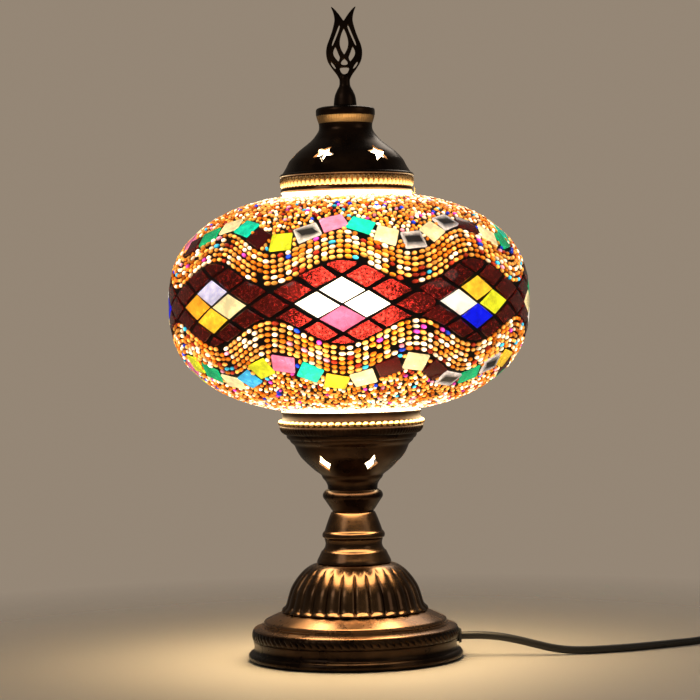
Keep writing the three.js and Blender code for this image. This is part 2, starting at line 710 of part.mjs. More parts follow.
function plugAssembly() {
  const assembly = group(piece("plug_body", plugBody(), "moulding"));
  for (const [number, side] of [[1, -1], [2, 1]]) {
    const pin = piece(`plug_pin_${number}`, plugPin(), "steel");
    pin.position.y = (side * PIN.spacing) / 2;
    assembly.add(pin);
  }
  assembly.position.set(...PLUG.back, PLUG.height);
  return assembly;
}

function cordAssembly() {
  const coil = piece("cord_coil", coilRing(), "flex");
  coil.position.set(...COIL.centre, 0);
  return group(
    piece("cord_run", cordTube(RUN_ROUTE, 22), "flex"),
    piece("cord_link", cordTube(LINK_ROUTE, 8), "flex"),
    coil,
    piece("cord_tail", cordTube(TAIL_ROUTE, 4), "flex"),
    switchAssembly(),
    plugAssembly(),
  );
}

// ------------------------------------------------------------------ the lamp

const lamp = group(
  baseAssembly(),
  stemAssembly(),
  holderAssembly(),
  bulbAssembly(),
  globeAssembly(),
  capAssembly(),
  finialAssembly(),
  wiringAssembly(),
  cordAssembly(),
);
lamp.name = "mosaic_table_lamp";

export default lamp;
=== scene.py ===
"""A mosaic glass table lamp, lit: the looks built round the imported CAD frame.

Lengths are in millimetres until a mesh is made. An azimuth is measured from the front (-Y), positive
towards +X. An outline is a list of (radius, height) pairs, anticlockwise, so its outer side runs upwards.
"""

import itertools
import math
import random

import bpy
import numpy as np
from mathutils import Matrix, Vector


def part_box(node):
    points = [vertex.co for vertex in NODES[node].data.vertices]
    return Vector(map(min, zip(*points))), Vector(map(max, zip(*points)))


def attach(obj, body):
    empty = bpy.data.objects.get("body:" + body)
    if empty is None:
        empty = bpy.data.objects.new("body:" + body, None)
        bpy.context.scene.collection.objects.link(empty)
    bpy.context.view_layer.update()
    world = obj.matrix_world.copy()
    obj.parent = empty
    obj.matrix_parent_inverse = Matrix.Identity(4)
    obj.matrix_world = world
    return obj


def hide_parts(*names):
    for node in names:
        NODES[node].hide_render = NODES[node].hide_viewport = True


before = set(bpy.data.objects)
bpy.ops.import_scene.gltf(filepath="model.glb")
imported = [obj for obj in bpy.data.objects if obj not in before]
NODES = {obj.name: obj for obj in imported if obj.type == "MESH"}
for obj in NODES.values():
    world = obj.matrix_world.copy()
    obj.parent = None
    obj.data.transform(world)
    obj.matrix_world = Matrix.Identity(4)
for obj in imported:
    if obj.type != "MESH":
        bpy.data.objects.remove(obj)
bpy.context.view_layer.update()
MM = 0.001
TAU = 2 * math.pi

random.seed(7)


# ---------------------------------------------------------------- sizes taken from the frame


def low(node, axis):
    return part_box(node)[0][axis] / MM


def high(node, axis):
    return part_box(node)[1][axis] / MM


GLOBE_Z = (low("diamond_tiles", 2) + high("diamond_tiles", 2)) / 2  # the mosaic's middle height
GLASS_RADIUS = 121.6
GLASS_HALF_HEIGHT = 73.6
GLASS_POWER = 2.45  # (r / radius) ^ power + (h / half height) ^ power = 1
NECK_RADIUS = 42.5
NECK_LOW = low("globe_glass", 2)
NECK_HIGH = high("globe_glass", 2)

PERIODS = 8  # clusters of coloured diamonds round the globe
FIRST_CLUSTER = math.radians(-2)
GROUT = 2.0  # height of the black grout above the glass
TILE_TOP = 3.1
TILE_BEVEL = 0.45


# ---------------------------------------------------------------- materials


class Shader:
    """A material with one Principled node, and short ways to add nodes to it."""

    def __init__(self, name, **sockets):
        self.mat = bpy.data.materials.new(name)
        self.mat.use_nodes = True
        self.tree = self.mat.node_tree
        self.bsdf = self.tree.nodes["Principled BSDF"]
        self.output = self.tree.nodes["Material Output"]
        for socket, value in sockets.items():
            self.set(self.bsdf, socket.replace("_", " "), value)

    def set(self, node, socket, value):
        if isinstance(value, bpy.types.NodeSocket):
            self.tree.links.new(value, node.inputs[socket])
        elif isinstance(value, tuple) and len(value) == 3 and node.inputs[socket].type == "RGBA":
            node.inputs[socket].default_value = (*value, 1)
        else:
            node.inputs[socket].default_value = value

    def node(self, kind, inputs=None, **settings):
        made = self.tree.nodes.new(kind)
        for key, value in settings.items():
            setattr(made, key, value)
        for socket, value in (inputs or {}).items():
            self.set(made, socket, value)
        return made

    def place(self):
        return self.node("ShaderNodeTexCoord").outputs["Object"]

    def turned_place(self):
        """(radius, height, 0) of a point, for marks that run round a turned piece."""
        parts = self.node("ShaderNodeSeparateXYZ", {"Vector": self.place()})
        flat = self.node("ShaderNodeCombineXYZ", {"X": parts.outputs["X"], "Y": parts.outputs["Y"]})
        radius = self.node("ShaderNodeVectorMath", {0: flat.outputs[0]}, operation="LENGTH")
        inputs = {"X": radius.outputs["Value"], "Y": parts.outputs["Z"]}
        return self.node("ShaderNodeCombineXYZ", inputs).outputs[0]

    def noise(self, scale, detail=3, vector=None, roughness=0.5):
        inputs = {"Scale": scale, "Detail": detail, "Roughness": roughness}
        inputs["Vector"] = vector or self.place()
        return self.node("ShaderNodeTexNoise", inputs).outputs["Fac"]

    def ramp(self, fac, *stops):
        """stops are (position, colour)."""
        made = self.node("ShaderNodeValToRGB", {"Fac": fac})
        elements = made.color_ramp.elements
        while len(elements) < len(stops):
            elements.new(0.5)
        for element, (position, colour) in zip(elements, stops):
            element.position = position
            element.color = (*colour, 1) if isinstance(colour, tuple) else (colour,) * 3 + (1,)
        return made.outputs["Color"]

    def mix(self, fac, a, b, blend="MIX"):
        made = self.node("ShaderNodeMix", data_type="RGBA", blend_type=blend)
        self.set(made, 0, fac)
        self.set(made, 6, a)
        self.set(made, 7, b)
        return made.outputs[2]

    def math(self, operation, a, b):
        return self.node("ShaderNodeMath", {0: a, 1: b}, operation=operation).outputs[0]

    def spread(self, value, low, high, to_low, to_high):
        """Stretches low..high to to_low..to_high, and holds what is beyond."""
        inputs = {"Value": value, "From Min": low, "From Max": high, "To Min": to_low, "To Max": to_high}
        return self.node("ShaderNodeMapRange", inputs).outputs["Result"]

    def bump(self, height, strength, distance):
        inputs = {"Height": height, "Strength": strength, "Distance": distance}
        self.set(self.bsdf, "Normal", self.node("ShaderNodeBump", inputs).outputs["Normal"])

    def attribute(self, name):
        return self.node("ShaderNodeAttribute", attribute_name=name).outputs["Color"]

    def paints_light(self, colour, strength=1.0):
        """Painted light: an emission in a part that is no lamp, standing in for the bulb's light on it. It
        doesn't show through the glass in front of it.
        """
        self.set(self.bsdf, "Emission Color", colour)
        through = self.node("ShaderNodeLightPath").outputs["Is Transmission Ray"]
        seen = self.math("SUBTRACT", 1.0, through)
        self.set(self.bsdf, "Emission Strength", self.math("MULTIPLY", seen, strength))
        self.mat.cycles.emission_sampling = "NONE"

    def passes_rays(self, fac):
        """Lets the rays that fac picks go straight through."""
        clear = self.node("ShaderNodeBsdfTransparent")
        made = self.node("ShaderNodeMixShader", {0: fac, 1: self.bsdf.outputs[0], 2: clear.outputs[0]})
        self.set(self.output, "Surface", made.outputs[0])
        return clear


def antique_metal(name, dark, bright, roughness):
    """Dark patina over copper-gold metal, rubbed through on its sharpest edges."""
    s = Shader(name, Metallic=1.0)
    patches = s.noise(38, 5, roughness=0.62)
    lathe_marks = s.noise(700, 2, s.turned_place())
    edges = s.node("ShaderNodeNewGeometry").outputs["Pointiness"]
    rubbed = s.ramp(edges, (0.56, 0.0), (0.72, 0.8))
    thin = tuple(0.7 * d + 0.3 * b for d, b in zip(dark, bright))
    patina = s.mix(s.ramp(patches, (0.4, 0.0), (0.72, 0.7)), dark, thin)
    s.set(s.bsdf, "Base Color", s.mix(rubbed, patina, bright))
    s.set(s.bsdf, "Roughness", s.ramp(patches, (0.3, roughness - 0.05), (0.7, roughness + 0.1)))
    s.bump(lathe_marks, 0.12, 0.0002)
    return s.mat


def plain_metal(name, colour, roughness, grain=600):
    s = Shader(name, Metallic=1.0)
    grain_map = s.noise(grain, 3, s.turned_place())
    s.set(s.bsdf, "Base Color", s.mix(grain_map, tuple(0.8 * c for c in colour), colour))
    s.set(s.bsdf, "Roughness", s.ramp(grain_map, (0.3, roughness), (0.7, roughness + 0.12)))
    s.bump(grain_map, 0.1, 0.0001)
    return s.mat


def moulded(name, colour, roughness, texture=1400):
    s = Shader(name)
    grain = s.noise(texture, 3)
    s.set(s.bsdf, "Base Color", s.mix(s.noise(25), tuple(0.85 * c for c in colour), colour))
    s.set(s.bsdf, "Roughness", s.ramp(grain, (0.3, roughness), (0.7, min(1, roughness + 0.12))))
    s.bump(grain, 0.1, 0.0001)
    return s.mat


def lit_glass(name, shine, texture_scale, texture_strength, clear, grain, mottle):
    """Coloured glass with light behind it. Each vertex carries the glass's colour and a painted glow that
    stands in for the bulb's light shining through it.
    The uneven glass shows from mottle[0] to mottle[1] of its colour, as its ripples go from grain[0] to
    grain[1]."""
    s = Shader(name, IOR=1.12, Coat_Weight=1.0, Coat_Roughness=0.06, Coat_IOR=1.5)
    ripples = s.noise(texture_scale, 4, roughness=0.65)
    uneven = s.spread(ripples, *grain, *mottle)
    colour = s.mix(1.0, s.attribute("glass"), uneven, "MULTIPLY")
    # One surface tints by the colour's root, and a ray meets only the front one, so the colour is squared.
    s.set(s.bsdf, "Base Color", s.mix(1.0, colour, colour, "MULTIPLY"))
    s.set(s.bsdf, "Transmission Weight", clear)
    s.set(s.bsdf, "Roughness", s.ramp(ripples, (0.3, shine), (0.7, shine + 0.12)))
    # Painted light: the glow each vertex carries, made uneven with the glass.
    s.paints_light(s.mix(1.0, s.attribute("glow"), uneven, "MULTIPLY"))
    s.bump(ripples, texture_strength, 0.0006)
    inside = s.node("ShaderNodeNewGeometry").outputs["Backfacing"]
    shadow = s.node("ShaderNodeLightPath").outputs["Is Shadow Ray"]
    clear_shader = s.passes_rays(s.math("MAXIMUM", shadow, inside))
    s.set(clear_shader, "Color", s.mix(inside, s.mix(0.5, colour, (0, 0, 0)), (1, 1, 1)))
    return s.mat


def make_materials():
    m = {}
    m["bronze"] = antique_metal("antique_bronze", (0.085, 0.048, 0.029), (0.55, 0.33, 0.16), 0.2)
    # Painted shade: a much darker copy of the bronze, for the knop, the gallery and the cap.
    m["shaded_bronze"] = antique_metal("bronze_painted_shade", (0.024, 0.014, 0.0105), (0.22, 0.125, 0.066), 0.26)
    m["copper"] = antique_metal("aged_copper", (0.2, 0.11, 0.062), (0.7, 0.42, 0.22), 0.24)
    # Painted shade: a darker copy of the copper, for the base's flange, its wall and the rope band on it.
    m["shaded_copper"] = antique_metal("copper_painted_shade", (0.018, 0.011, 0.008), (0.2, 0.12, 0.07), 0.28)
    # Painted shade: a near-black copy of the copper, for the gallery's top band and its ribbed bead, where no
    # reflection is to show.
    m["copper_painted_deep_shade"] = antique_metal("copper_painted_deep_shade", (0.009, 0.005, 0.0038), (0.08, 0.045, 0.028), 0.42)
    # Painted highlight: a bright copy of the metal, for the cap's rib band and neck band and the gallery's
    # beads, standing in for the globe's light they reflect.
    m["highlit_metal"] = antique_metal("metal_painted_highlight", (0.5, 0.31, 0.14), (0.95, 0.7, 0.4), 0.28)
    m["iron"] = antique_metal("black_iron", (0.02, 0.014, 0.012), (0.16, 0.09, 0.05), 0.36)
    m["lit_lining"] = lit_lining()
    m["steel"] = plain_metal("zinc_plated_steel", (0.62, 0.63, 0.64), 0.3)
    m["ballast"] = plain_metal("rough_cast_weight", (0.2, 0.19, 0.18), 0.6, 200)
    m["brass"] = plain_metal("brass", (0.8, 0.6, 0.28), 0.22)
    m["felt"] = moulded("felt", (0.03, 0.035, 0.03), 0.95, 2600)
    m["rubber"] = moulded("black_rubber", (0.018, 0.018, 0.018), 0.6)
    m["flex"] = moulded("cord_sheath", (0.012, 0.012, 0.013), 0.36, 900)
    m["moulding"] = moulded("black_moulding", (0.015, 0.015, 0.016), 0.32, 1800)
    m["white_moulding"] = moulded("white_moulding", (0.85, 0.83, 0.78), 0.35)
    m["porcelain"] = moulded("porcelain", (0.85, 0.83, 0.76), 0.18, 300)
    m["live"] = moulded("brown_core", (0.16, 0.07, 0.03), 0.4)
    m["neutral"] = moulded("blue_core", (0.03, 0.09, 0.4), 0.4)
    m["ruby"] = lit_glass("ruby_glass", 0.12, 520, 0.8, 0.9, (0.5, 0.7), (0.7, 4.2))
    m["tile"] = lit_glass("tile_glass", 0.18, 90, 0.25, 0.45, (0.38, 0.62), (0.75, 1.2))
    m["bead"] = lit_glass("bead_glass", 0.16, 300, 0.05, 0.25, (0.38, 0.62), (0.7, 1.3))
    m["grout"] = grout()
    m["frosted"] = frosted_glass()
    m["opal"] = opal()
    return m


def grout():
    s = Shader("black_grout", Roughness=0.75)
    crumbs = s.noise(700, 4)
    s.set(s.bsdf, "Base Color", s.mix(crumbs, (0.004, 0.003, 0.003), (0.02, 0.014, 0.012)))
    s.bump(crumbs, 0.5, 0.0004)
    s.passes_rays(s.node("ShaderNodeLightPath").outputs["Is Transmission Ray"])
    return s.mat


def frosted_glass():
    s = Shader("frosted_glass", Roughness=0.23, Transmission_Weight=0.97, IOR=1.45)
    bloom = s.noise(60, 3)
    s.set(s.bsdf, "Base Color", s.mix(bloom, (1, 0.92, 0.78), (1, 0.97, 0.9)))
    # Painted light: the glow each vertex carries, strong on the bare rings at the necks and faint elsewhere.
    s.paints_light(s.attribute("glow"))
    return s.mat


def lit_lining():
    """The bare inner side of the cap and the gallery, which the bulb floods with light. That light is painted
    on as a glow.
    """
    s = Shader("lit_lining", Roughness=0.5)
    stains_and_light_tone = s.noise(90, 3)
    s.set(s.bsdf, "Base Color", s.mix(stains_and_light_tone, (0.8, 0.7, 0.52), (0.9, 0.82, 0.66)))
    # Painted light: the glow, toned by the same stains as the colour.
    s.paints_light(s.mix(stains_and_light_tone, (1, 0.84, 0.58), (1, 0.92, 0.76)), 5.0)
    return s.mat


def opal():
    s = Shader("opal_lit", Roughness=0.3)
    haze = s.noise(40)
    s.set(s.bsdf, "Base Color", s.mix(haze, (0.95, 0.9, 0.8), (1, 0.97, 0.9)))
    s.set(s.bsdf, "Emission Color", s.mix(haze, (1, 0.84, 0.6), (1, 0.9, 0.72)))
    s.set(s.bsdf, "Emission Strength", 14.0)
    s.mat.cycles.emission_sampling = "NONE"
    return s.mat


MATERIALS = make_materials()


# ---------------------------------------------------------------- mesh helpers


def finish_piece(obj, body, replaced=()):
    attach(obj, body)
    if replaced:
        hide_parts(*replaced)
    return obj


def added(name, data):
    """A new object with this data, in the scene."""
    obj = bpy.data.objects.new(name, data)
    bpy.context.scene.collection.objects.link(obj)
    return obj


def skirt(a, b, n):
    """Quads between two rings of n vertices, whose first ones are a and b."""
    return [[a + i, a + (i + 1) % n, b + (i + 1) % n, b + i] for i in range(n)]


def rotated(x, y, angle):
    return x * math.cos(angle) - y * math.sin(angle), x * math.sin(angle) + y * math.cos(angle)


def mesh_object(name, vertices, faces, material, sharp=35, colours=None):
    """vertices are in millimetres. colours is {attribute: one RGB row for each vertex}."""
    mesh = bpy.data.meshes.new(name)
    mesh.from_pydata((np.asarray(vertices, float) * MM).tolist(), [], faces)
    mesh.materials.append(MATERIALS[material])
    mesh.shade_smooth()
    if sharp:
        mesh.set_sharp_from_angle(angle=math.radians(sharp))
    for attribute, rows in (colours or {}).items():
        layer = mesh.attributes.new(attribute, "FLOAT_COLOR", "POINT")
        rows = np.asarray(rows, np.float32)
        layer.data.foreach_set("color", np.hstack([rows, np.ones((len(rows), 1), np.float32)]).ravel())
    return added(name, mesh)


def smooth(points, steps=6):
    """A smooth curve through the points, which it starts and ends on."""
    p = [np.array(q, float) for q in (points[0], *points, points[-1])]
    curve = []
    for a, b, c, d in zip(p, p[1:], p[2:], p[3:]):
        bend, twist = 2 * a - 5 * b + 4 * c - d, 3 * b - a - 3 * c + d
        for i in range(steps):
            t = i / steps
            curve.append(0.5 * (2 * b + (c - a) * t + bend * t**2 + twist * t**3))
    curve.append(p[-1])
    return [tuple(q) for q in curve]


def lathe(name, outline, material, sides=96, radial=None, sharp=35, bands=()):
    """A closed outline turned about Z. radial gives each point's new radius from (azimuth, r, z).
    An outline whose first and last points are on the axis is closed by it. bands are (material, start, end):
    the faces between those two points of the outline get another material."""
    points = np.array(outline, float)
    azimuth = np.arange(sides) * TAU / sides
    vertices, rings = [], []
    for r, z in points:
        if r < 1e-6:
            rings.append([len(vertices)] * sides)
            vertices.append((0, 0, z))
            continue
        rings.append(list(range(len(vertices), len(vertices) + sides)))
        radii = radial(azimuth, r, z) if radial else r
        vertices += zip(radii * np.sin(azimuth), -radii * np.cos(azimuth), np.full(sides, z))
    pairs = list(zip(rings, rings[1:]))
    if outline[0][0] > 1e-6:
        pairs.append((rings[-1], rings[0]))
    faces = []
    for a, b in pairs:
        for k in range(sides):
            n = (k + 1) % sides
            corners = [a[k], a[n], b[n], b[k]]
            faces.append(list(dict.fromkeys(corners)))
    obj = mesh_object(name, vertices, faces, material, sharp)
    chosen = np.zeros(len(pairs), int)
    for slot, (other, start, end) in enumerate(bands, 1):
        obj.data.materials.append(MATERIALS[other])
        chosen[outline.index(start):outline.index(end)] = slot
    obj.data.polygons.foreach_set("material_index", np.repeat(chosen, sides))
    return obj


def apply_modifiers(obj):
    """Puts the modifiers' result in place of obj's mesh."""
    depsgraph = bpy.context.evaluated_depsgraph_get()
    made = bpy.data.meshes.new_from_object(obj.evaluated_get(depsgraph))
    obj.modifiers.clear()
    obj.data = made
    made.shade_smooth()
    return obj


def cut(obj, cutters):
    """Takes the cutters out of obj."""
    for cutter in cutters:
        modifier = obj.modifiers.new("cut", "BOOLEAN")
        modifier.object = cutter
        modifier.solver = "EXACT"
    apply_modifiers(obj)
    obj.data.set_sharp_from_angle(angle=math.radians(35))
    for cutter in cutters:
        bpy.data.objects.remove(cutter)
    return obj


def soften(obj, grain, rounds):
    """Rounds all edges, as casting or moulding leaves them. grain is in millimetres."""
    remesh = obj.modifiers.new("remesh", "REMESH")
    remesh.mode = "VOXEL"
    remesh.voxel_size = grain * MM
    relax = obj.modifiers.new("relax", "SMOOTH")
    relax.factor = 0.5
    relax.iterations = rounds
    apply_modifiers(obj)


def softened(name, node, grain, rounds, body):
    """A copy of a black moulded CAD piece, with its edges rounded."""
    obj = added(name, NODES[node].data.copy())
    soften(obj, grain, rounds)
    obj.data.materials.clear()
    obj.data.materials.append(MATERIALS["moulding"])
    return finish_piece(obj, body, [node])


def prism(points, depth, azimuth=0, radius=0, height=0, tilt=0, name="cutter", material="bronze"):
    """A prism drawn in X and Y, stood on a turned surface: its X runs round and its Y up the slope."""
    n = len(points)
    vertices = [(x, y, -depth / 2) for x, y in points] + [(x, y, depth / 2) for x, y in points]
    faces = [list(range(n))[::-1], list(range(n, 2 * n))]
    faces += skirt(0, n, n)
    a, e = math.radians(azimuth), math.radians(tilt)
    around = Vector((math.cos(a), math.sin(a), 0))
    normal = Vector((math.sin(a) * math.cos(e), -math.cos(a) * math.cos(e), math.sin(e)))
    uphill = normal.cross(around)
    origin = Vector((radius * math.sin(a), -radius * math.cos(a), height))
    placed = [origin + around * x + uphill * y + normal * z for x, y, z in vertices]
    return mesh_object(name, placed, faces, material, None)


# ---------------------------------------------------------------- camera, light and floor

EYE_HEIGHT = 0.238
EYE_DISTANCE = 1.697
LENS = 126
PITCH = math.radians(-0.82)
ROLL = math.radians(-1.13)


def make_camera():
    camera = added("camera", bpy.data.cameras.new("camera"))
    camera.data.lens = LENS
    camera.data.sensor_width = 36
    camera.data.clip_start = 0.05
    turn = Matrix.Rotation(math.radians(90) + PITCH, 4, "X") @ Matrix.Rotation(ROLL, 4, "Z")
    camera.matrix_world = Matrix.Translation((0, -EYE_DISTANCE, EYE_HEIGHT)) @ turn
    bpy.context.scene.camera = camera


def new_light(kind, name, place, power, colour):
    light = added(name, bpy.data.lights.new(name, kind))
    light.location = place
    light.data.energy = power
    light.data.color = colour
    return light


def area_light(name, place, target, size, power, colour):
    light = new_light("AREA", name, place, power, colour)
    light.data.shape = "DISK"
    light.data.size = size
    light.rotation_euler = (Vector(target) - Vector(place)).to_track_quat("-Z", "Y").to_euler()
    return light


def make_floor():
    side = 3.0
    corners = [(-side, -side, 0), (side, -side, 0), (side, side, 0), (-side, side, 0)]
    mesh = bpy.data.meshes.new("floor")
    mesh.from_pydata(corners, [], [[0, 1, 2, 3]])
    s = Shader("pale_floor", Roughness=0.55)
    s.set(s.bsdf, "Base Color", s.mix(s.noise(3), (0.4, 0.38, 0.35), (0.45, 0.43, 0.4)))
    distance = s.node("ShaderNodeSeparateXYZ", {"Vector": s.turned_place()}).outputs["X"]
    s.passes_rays(s.spread(distance, 0.1, 0.55, 0.0, 1.0))
    mesh.materials.append(s.mat)
    added("floor", mesh)


def make_lights():
    world = bpy.data.worlds.new("studio")
    bpy.context.scene.world = world
    world.use_nodes = True
    tree = world.node_tree
    lighting = tree.nodes["Background"]
    lighting.inputs["Color"].default_value = (0.5, 0.42, 0.33, 1)
    lighting.inputs["Strength"].default_value = 0.2
    backdrop = tree.nodes.new("ShaderNodeBackground")
    backdrop.inputs["Color"].default_value = (0.3, 0.24, 0.18, 1)
    chooser = tree.nodes.new("ShaderNodeMixShader")
    light_path = tree.nodes.new("ShaderNodeLightPath")
    tree.links.new(light_path.outputs["Is Camera Ray"], chooser.inputs[0])
    tree.links.new(lighting.outputs[0], chooser.inputs[1])
    tree.links.new(backdrop.outputs[0], chooser.inputs[2])
    tree.links.new(chooser.outputs[0], tree.nodes["World Output"].inputs[0])
    area_light("key", (-1.3, -1.2, 1.5), (0, 0, 0.2), 0.9, 3.6, (1, 0.88, 0.74))
    area_light("fill", (1.5, -0.9, 0.9), (0, 0, 0.2), 0.9, 1.3, (1, 0.86, 0.7))
    area_light("back", (0.4, 1.4, 1.3), (0, 0, 0.25), 0.8, 3, (1, 0.88, 0.74))
    lowest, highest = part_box("bulb_dome")
    bulb = new_light("POINT", "bulb", (lowest + highest) / 2, 1.2, (1, 0.84, 0.6))
    bulb.data.shadow_soft_size = 0.026
    # The globe's own light on the metal below and above it.
    warm = (1, 0.72, 0.38)
    area_light("under_globe", (0, 0, (NECK_LOW + 9) * MM), (0, 0, 0), 0.19, 1.6, warm).visible_camera = False
    area_light("over_globe", (0, 0, (NECK_HIGH - 8.5) * MM), (0, 0, 1), 0.17, 0.6, warm).visible_camera = False


make_camera()
make_floor()
make_lights()


# ---------------------------------------------------------------- base


def oblique_rope(name, radius, bottom, top, count, depth, lean, material, sides_each=8):
    """A band of leaning, rounded bumps round a turned piece."""
    outline = [(radius - 1.5, bottom), (radius, bottom)]
    outline += [(radius, bottom + (top - bottom) * i / 8) for i in range(1, 8)]
    outline += [(radius, top), (radius - 1.5, top)]

    def radial(azimuth, r, z):
        share = (z - bottom) / (top - bottom)
        if r <= radius - 1 or not 0 < share < 1:
            return r
        across = np.abs(np.sin(count / 2 * (azimuth + lean * (share - 0.5) * TAU / count)))
        lobe = np.sqrt(np.clip(1 - (1 - across) ** 2, 0, 1)) * math.sin(math.pi * share) ** 0.5
        return r + depth * lobe

    return lathe(name, outline, material, count * sides_each, radial, 60)


def bead_ring(name, radius, height, count, half_sizes, lean, material):
    """Leaning oval beads in a ring: half_sizes run round, outwards and up."""
    across, out, up = half_sizes
    sides, bands = 12, 7
    tilt = math.radians(lean)
    vertices, faces = [], []
    for k in range(count):
        azimuth = k * TAU / count
        first = len(vertices)
        for band in range(bands + 1):
            polar = math.pi * band / bands
            for side in range(sides if 0 < band < bands else 1):
                turn = side * TAU / sides
                x = across * math.cos(polar)
                y = out * math.sin(polar) * math.cos(turn)
                z = up * math.sin(polar) * math.sin(turn)
                x, z = rotated(x, z, tilt)
                r = radius + y
                a = azimuth + x / radius
                vertices.append((r * math.sin(a), -r * math.cos(a), height + z))
        rings = [[first] * sides]
        rings += [[first + 1 + band * sides + i for i in range(sides)] for band in range(bands - 1)]
        rings += [[len(vertices) - 1] * sides]
        for a, b in zip(rings, rings[1:]):
            for i in range(sides):
                n = (i + 1) % sides
                faces.append(list(dict.fromkeys([a[i], b[i], b[n], a[n]])))
    return mesh_object(name, vertices, faces, material, None)


def cord_hole(radius):
    """A cutter for a round hole in the base's wall, where the cord leaves it."""
    return prism([rotated(radius, 0, a * TAU / 24) for a in range(24)], 12, 90, 70, 14.3)


def make_base():
    deck_edge = smooth([(63.2, 24.9), (63.4, 26), (62.9, 27.3), (61.6, 28.1)], 4)
    outline = (
        smooth([(71.6, 1.1), (73.2, 1), (74.3, 2.2), (74.3, 3.9), (73.2, 5.6), (71.3, 6.6)], 4)
        + smooth([(70.9, 7.1), (70.3, 8.5), (70.3, 11), (70.9, 13.2)], 3)
        + [(70.9, 14), (70.4, 14.2), (70.4, 21.2)]
        + smooth([(70.8, 21.4), (70.2, 22.2), (68, 22.9), (65.9, 23.4)], 3)
        + [(64.6, 23.5), (64.4, 24.6)]
        + deck_edge
        + smooth([(60.5, 28.6), (56, 30.7), (50.4, 33)], 4)
        + [(5.4, 33), (5.4, 31.3), (49.8, 31.3), (61.2, 26.2), (61.2, 21.9), (67.6, 20.6), (68.9, 7)]
        + [(71.4, 5)]
    )
    # The flange and the wall up to the shoulder take the darker copy of the copper, and so does the rope band:
    # painted shade.
    plate = lathe("base_shell", outline, "copper", 192, bands=[("shaded_copper", outline[0], (70.4, 21.2))])
    finish_piece(cut(plate, [cord_hole(4.6)]), "root", ["base_plate"])
    rope = oblique_rope("base_rope_band", 70.5, 14.2, 21.2, 86, 1.3, 1.1, "shaded_copper")
    finish_piece(cut(rope, [cord_hole(5.8)]), "root")


# ---------------------------------------------------------------- stem

FLUTES = 28


def make_fluted_dome():
    outer = smooth(
        [(49.4, 33.3), (50.4, 34.3), (48.6, 36.6), (47.6, 39.2), (46.1, 44.4), (44, 50), (40.5, 55.5),
         (35.7, 61), (30.5, 64.7), (26, 66.2)], 4,
    )
    outline = outer + [(5.4, 66.3), (5.4, 62.6), (26, 62.6), (37, 54.4), (42.4, 44.6), (46, 33.3)]

    def radial(azimuth, r, z):
        if z <= 33.4 or r <= 26.5 or (r, z) not in outer:
            return r
        fade = min(1, max(0, (64.5 - z) / 6)) * min(1, (z - 33.3) / 2)
        across = 2 * ((azimuth * FLUTES / TAU) % 1) - 1
        lobe = np.sqrt(np.clip(1 - across**2, 0, 1))
        foot = 0.8 * math.exp(-(((z - 35) / 1.6) ** 2)) * lobe**2
        return r - 2.0 * fade * (1 - lobe) + foot

    dome = lathe("dome_flutes", outline, "bronze", FLUTES * 12, radial, 50)
    finish_piece(dome, "root", ["fluted_dome"])


def make_stem_rings():
    flare = (
        smooth([(24.6, 66.6), (25.7, 66.9), (25.4, 68.6), (24.1, 71.2), (22.5, 74.7)], 4)
        + smooth([(21.6, 75.3), (20.2, 77.4), (19.6, 80), (20.2, 83)], 4)
        + [(19.9, 83.4), (5.4, 83.4), (5.4, 81.8), (17.9, 81.8), (18, 77.6), (20.4, 73.6)]
    )
    finish_piece(lathe("stem_flare", flare, "bronze", 96), "root", ["neck_flare"])
    collar = (
        smooth([(20.4, 83.7), (21.4, 84.4), (21.7, 85.9), (21.3, 87.4), (20.4, 88.4)], 4)
        + smooth([(20, 88.9), (18.4, 93.6), (16.6, 98.4), (15.2, 101.4), (14.4, 101.9)], 3)
        + [(5.4, 101.9), (5.4, 100.3), (13.4, 100.3), (16.9, 93.9), (19.3, 87.5), (19.1, 83.7)]
    )
    finish_piece(lathe("stem_cone", collar, "bronze", 96), "root", ["cone_collar"])
    knob = (
        smooth([(14.1, 102.2), (15.6, 104.3), (17.4, 107.1), (19.2, 109.8), (20.5, 111.7), (20.9, 113.2),
                (20.4, 115), (19.2, 116.5), (17.5, 117.4)], 4)
        + [(5.4, 117.6), (5.4, 116), (16.8, 116), (18.8, 113), (15.6, 107.2), (12.8, 102.2)]
    )
    # The knop takes the darker copy of the bronze: painted shade.
    finish_piece(lathe("stem_knop", knob, "shaded_bronze", 96), "root", ["knop"])


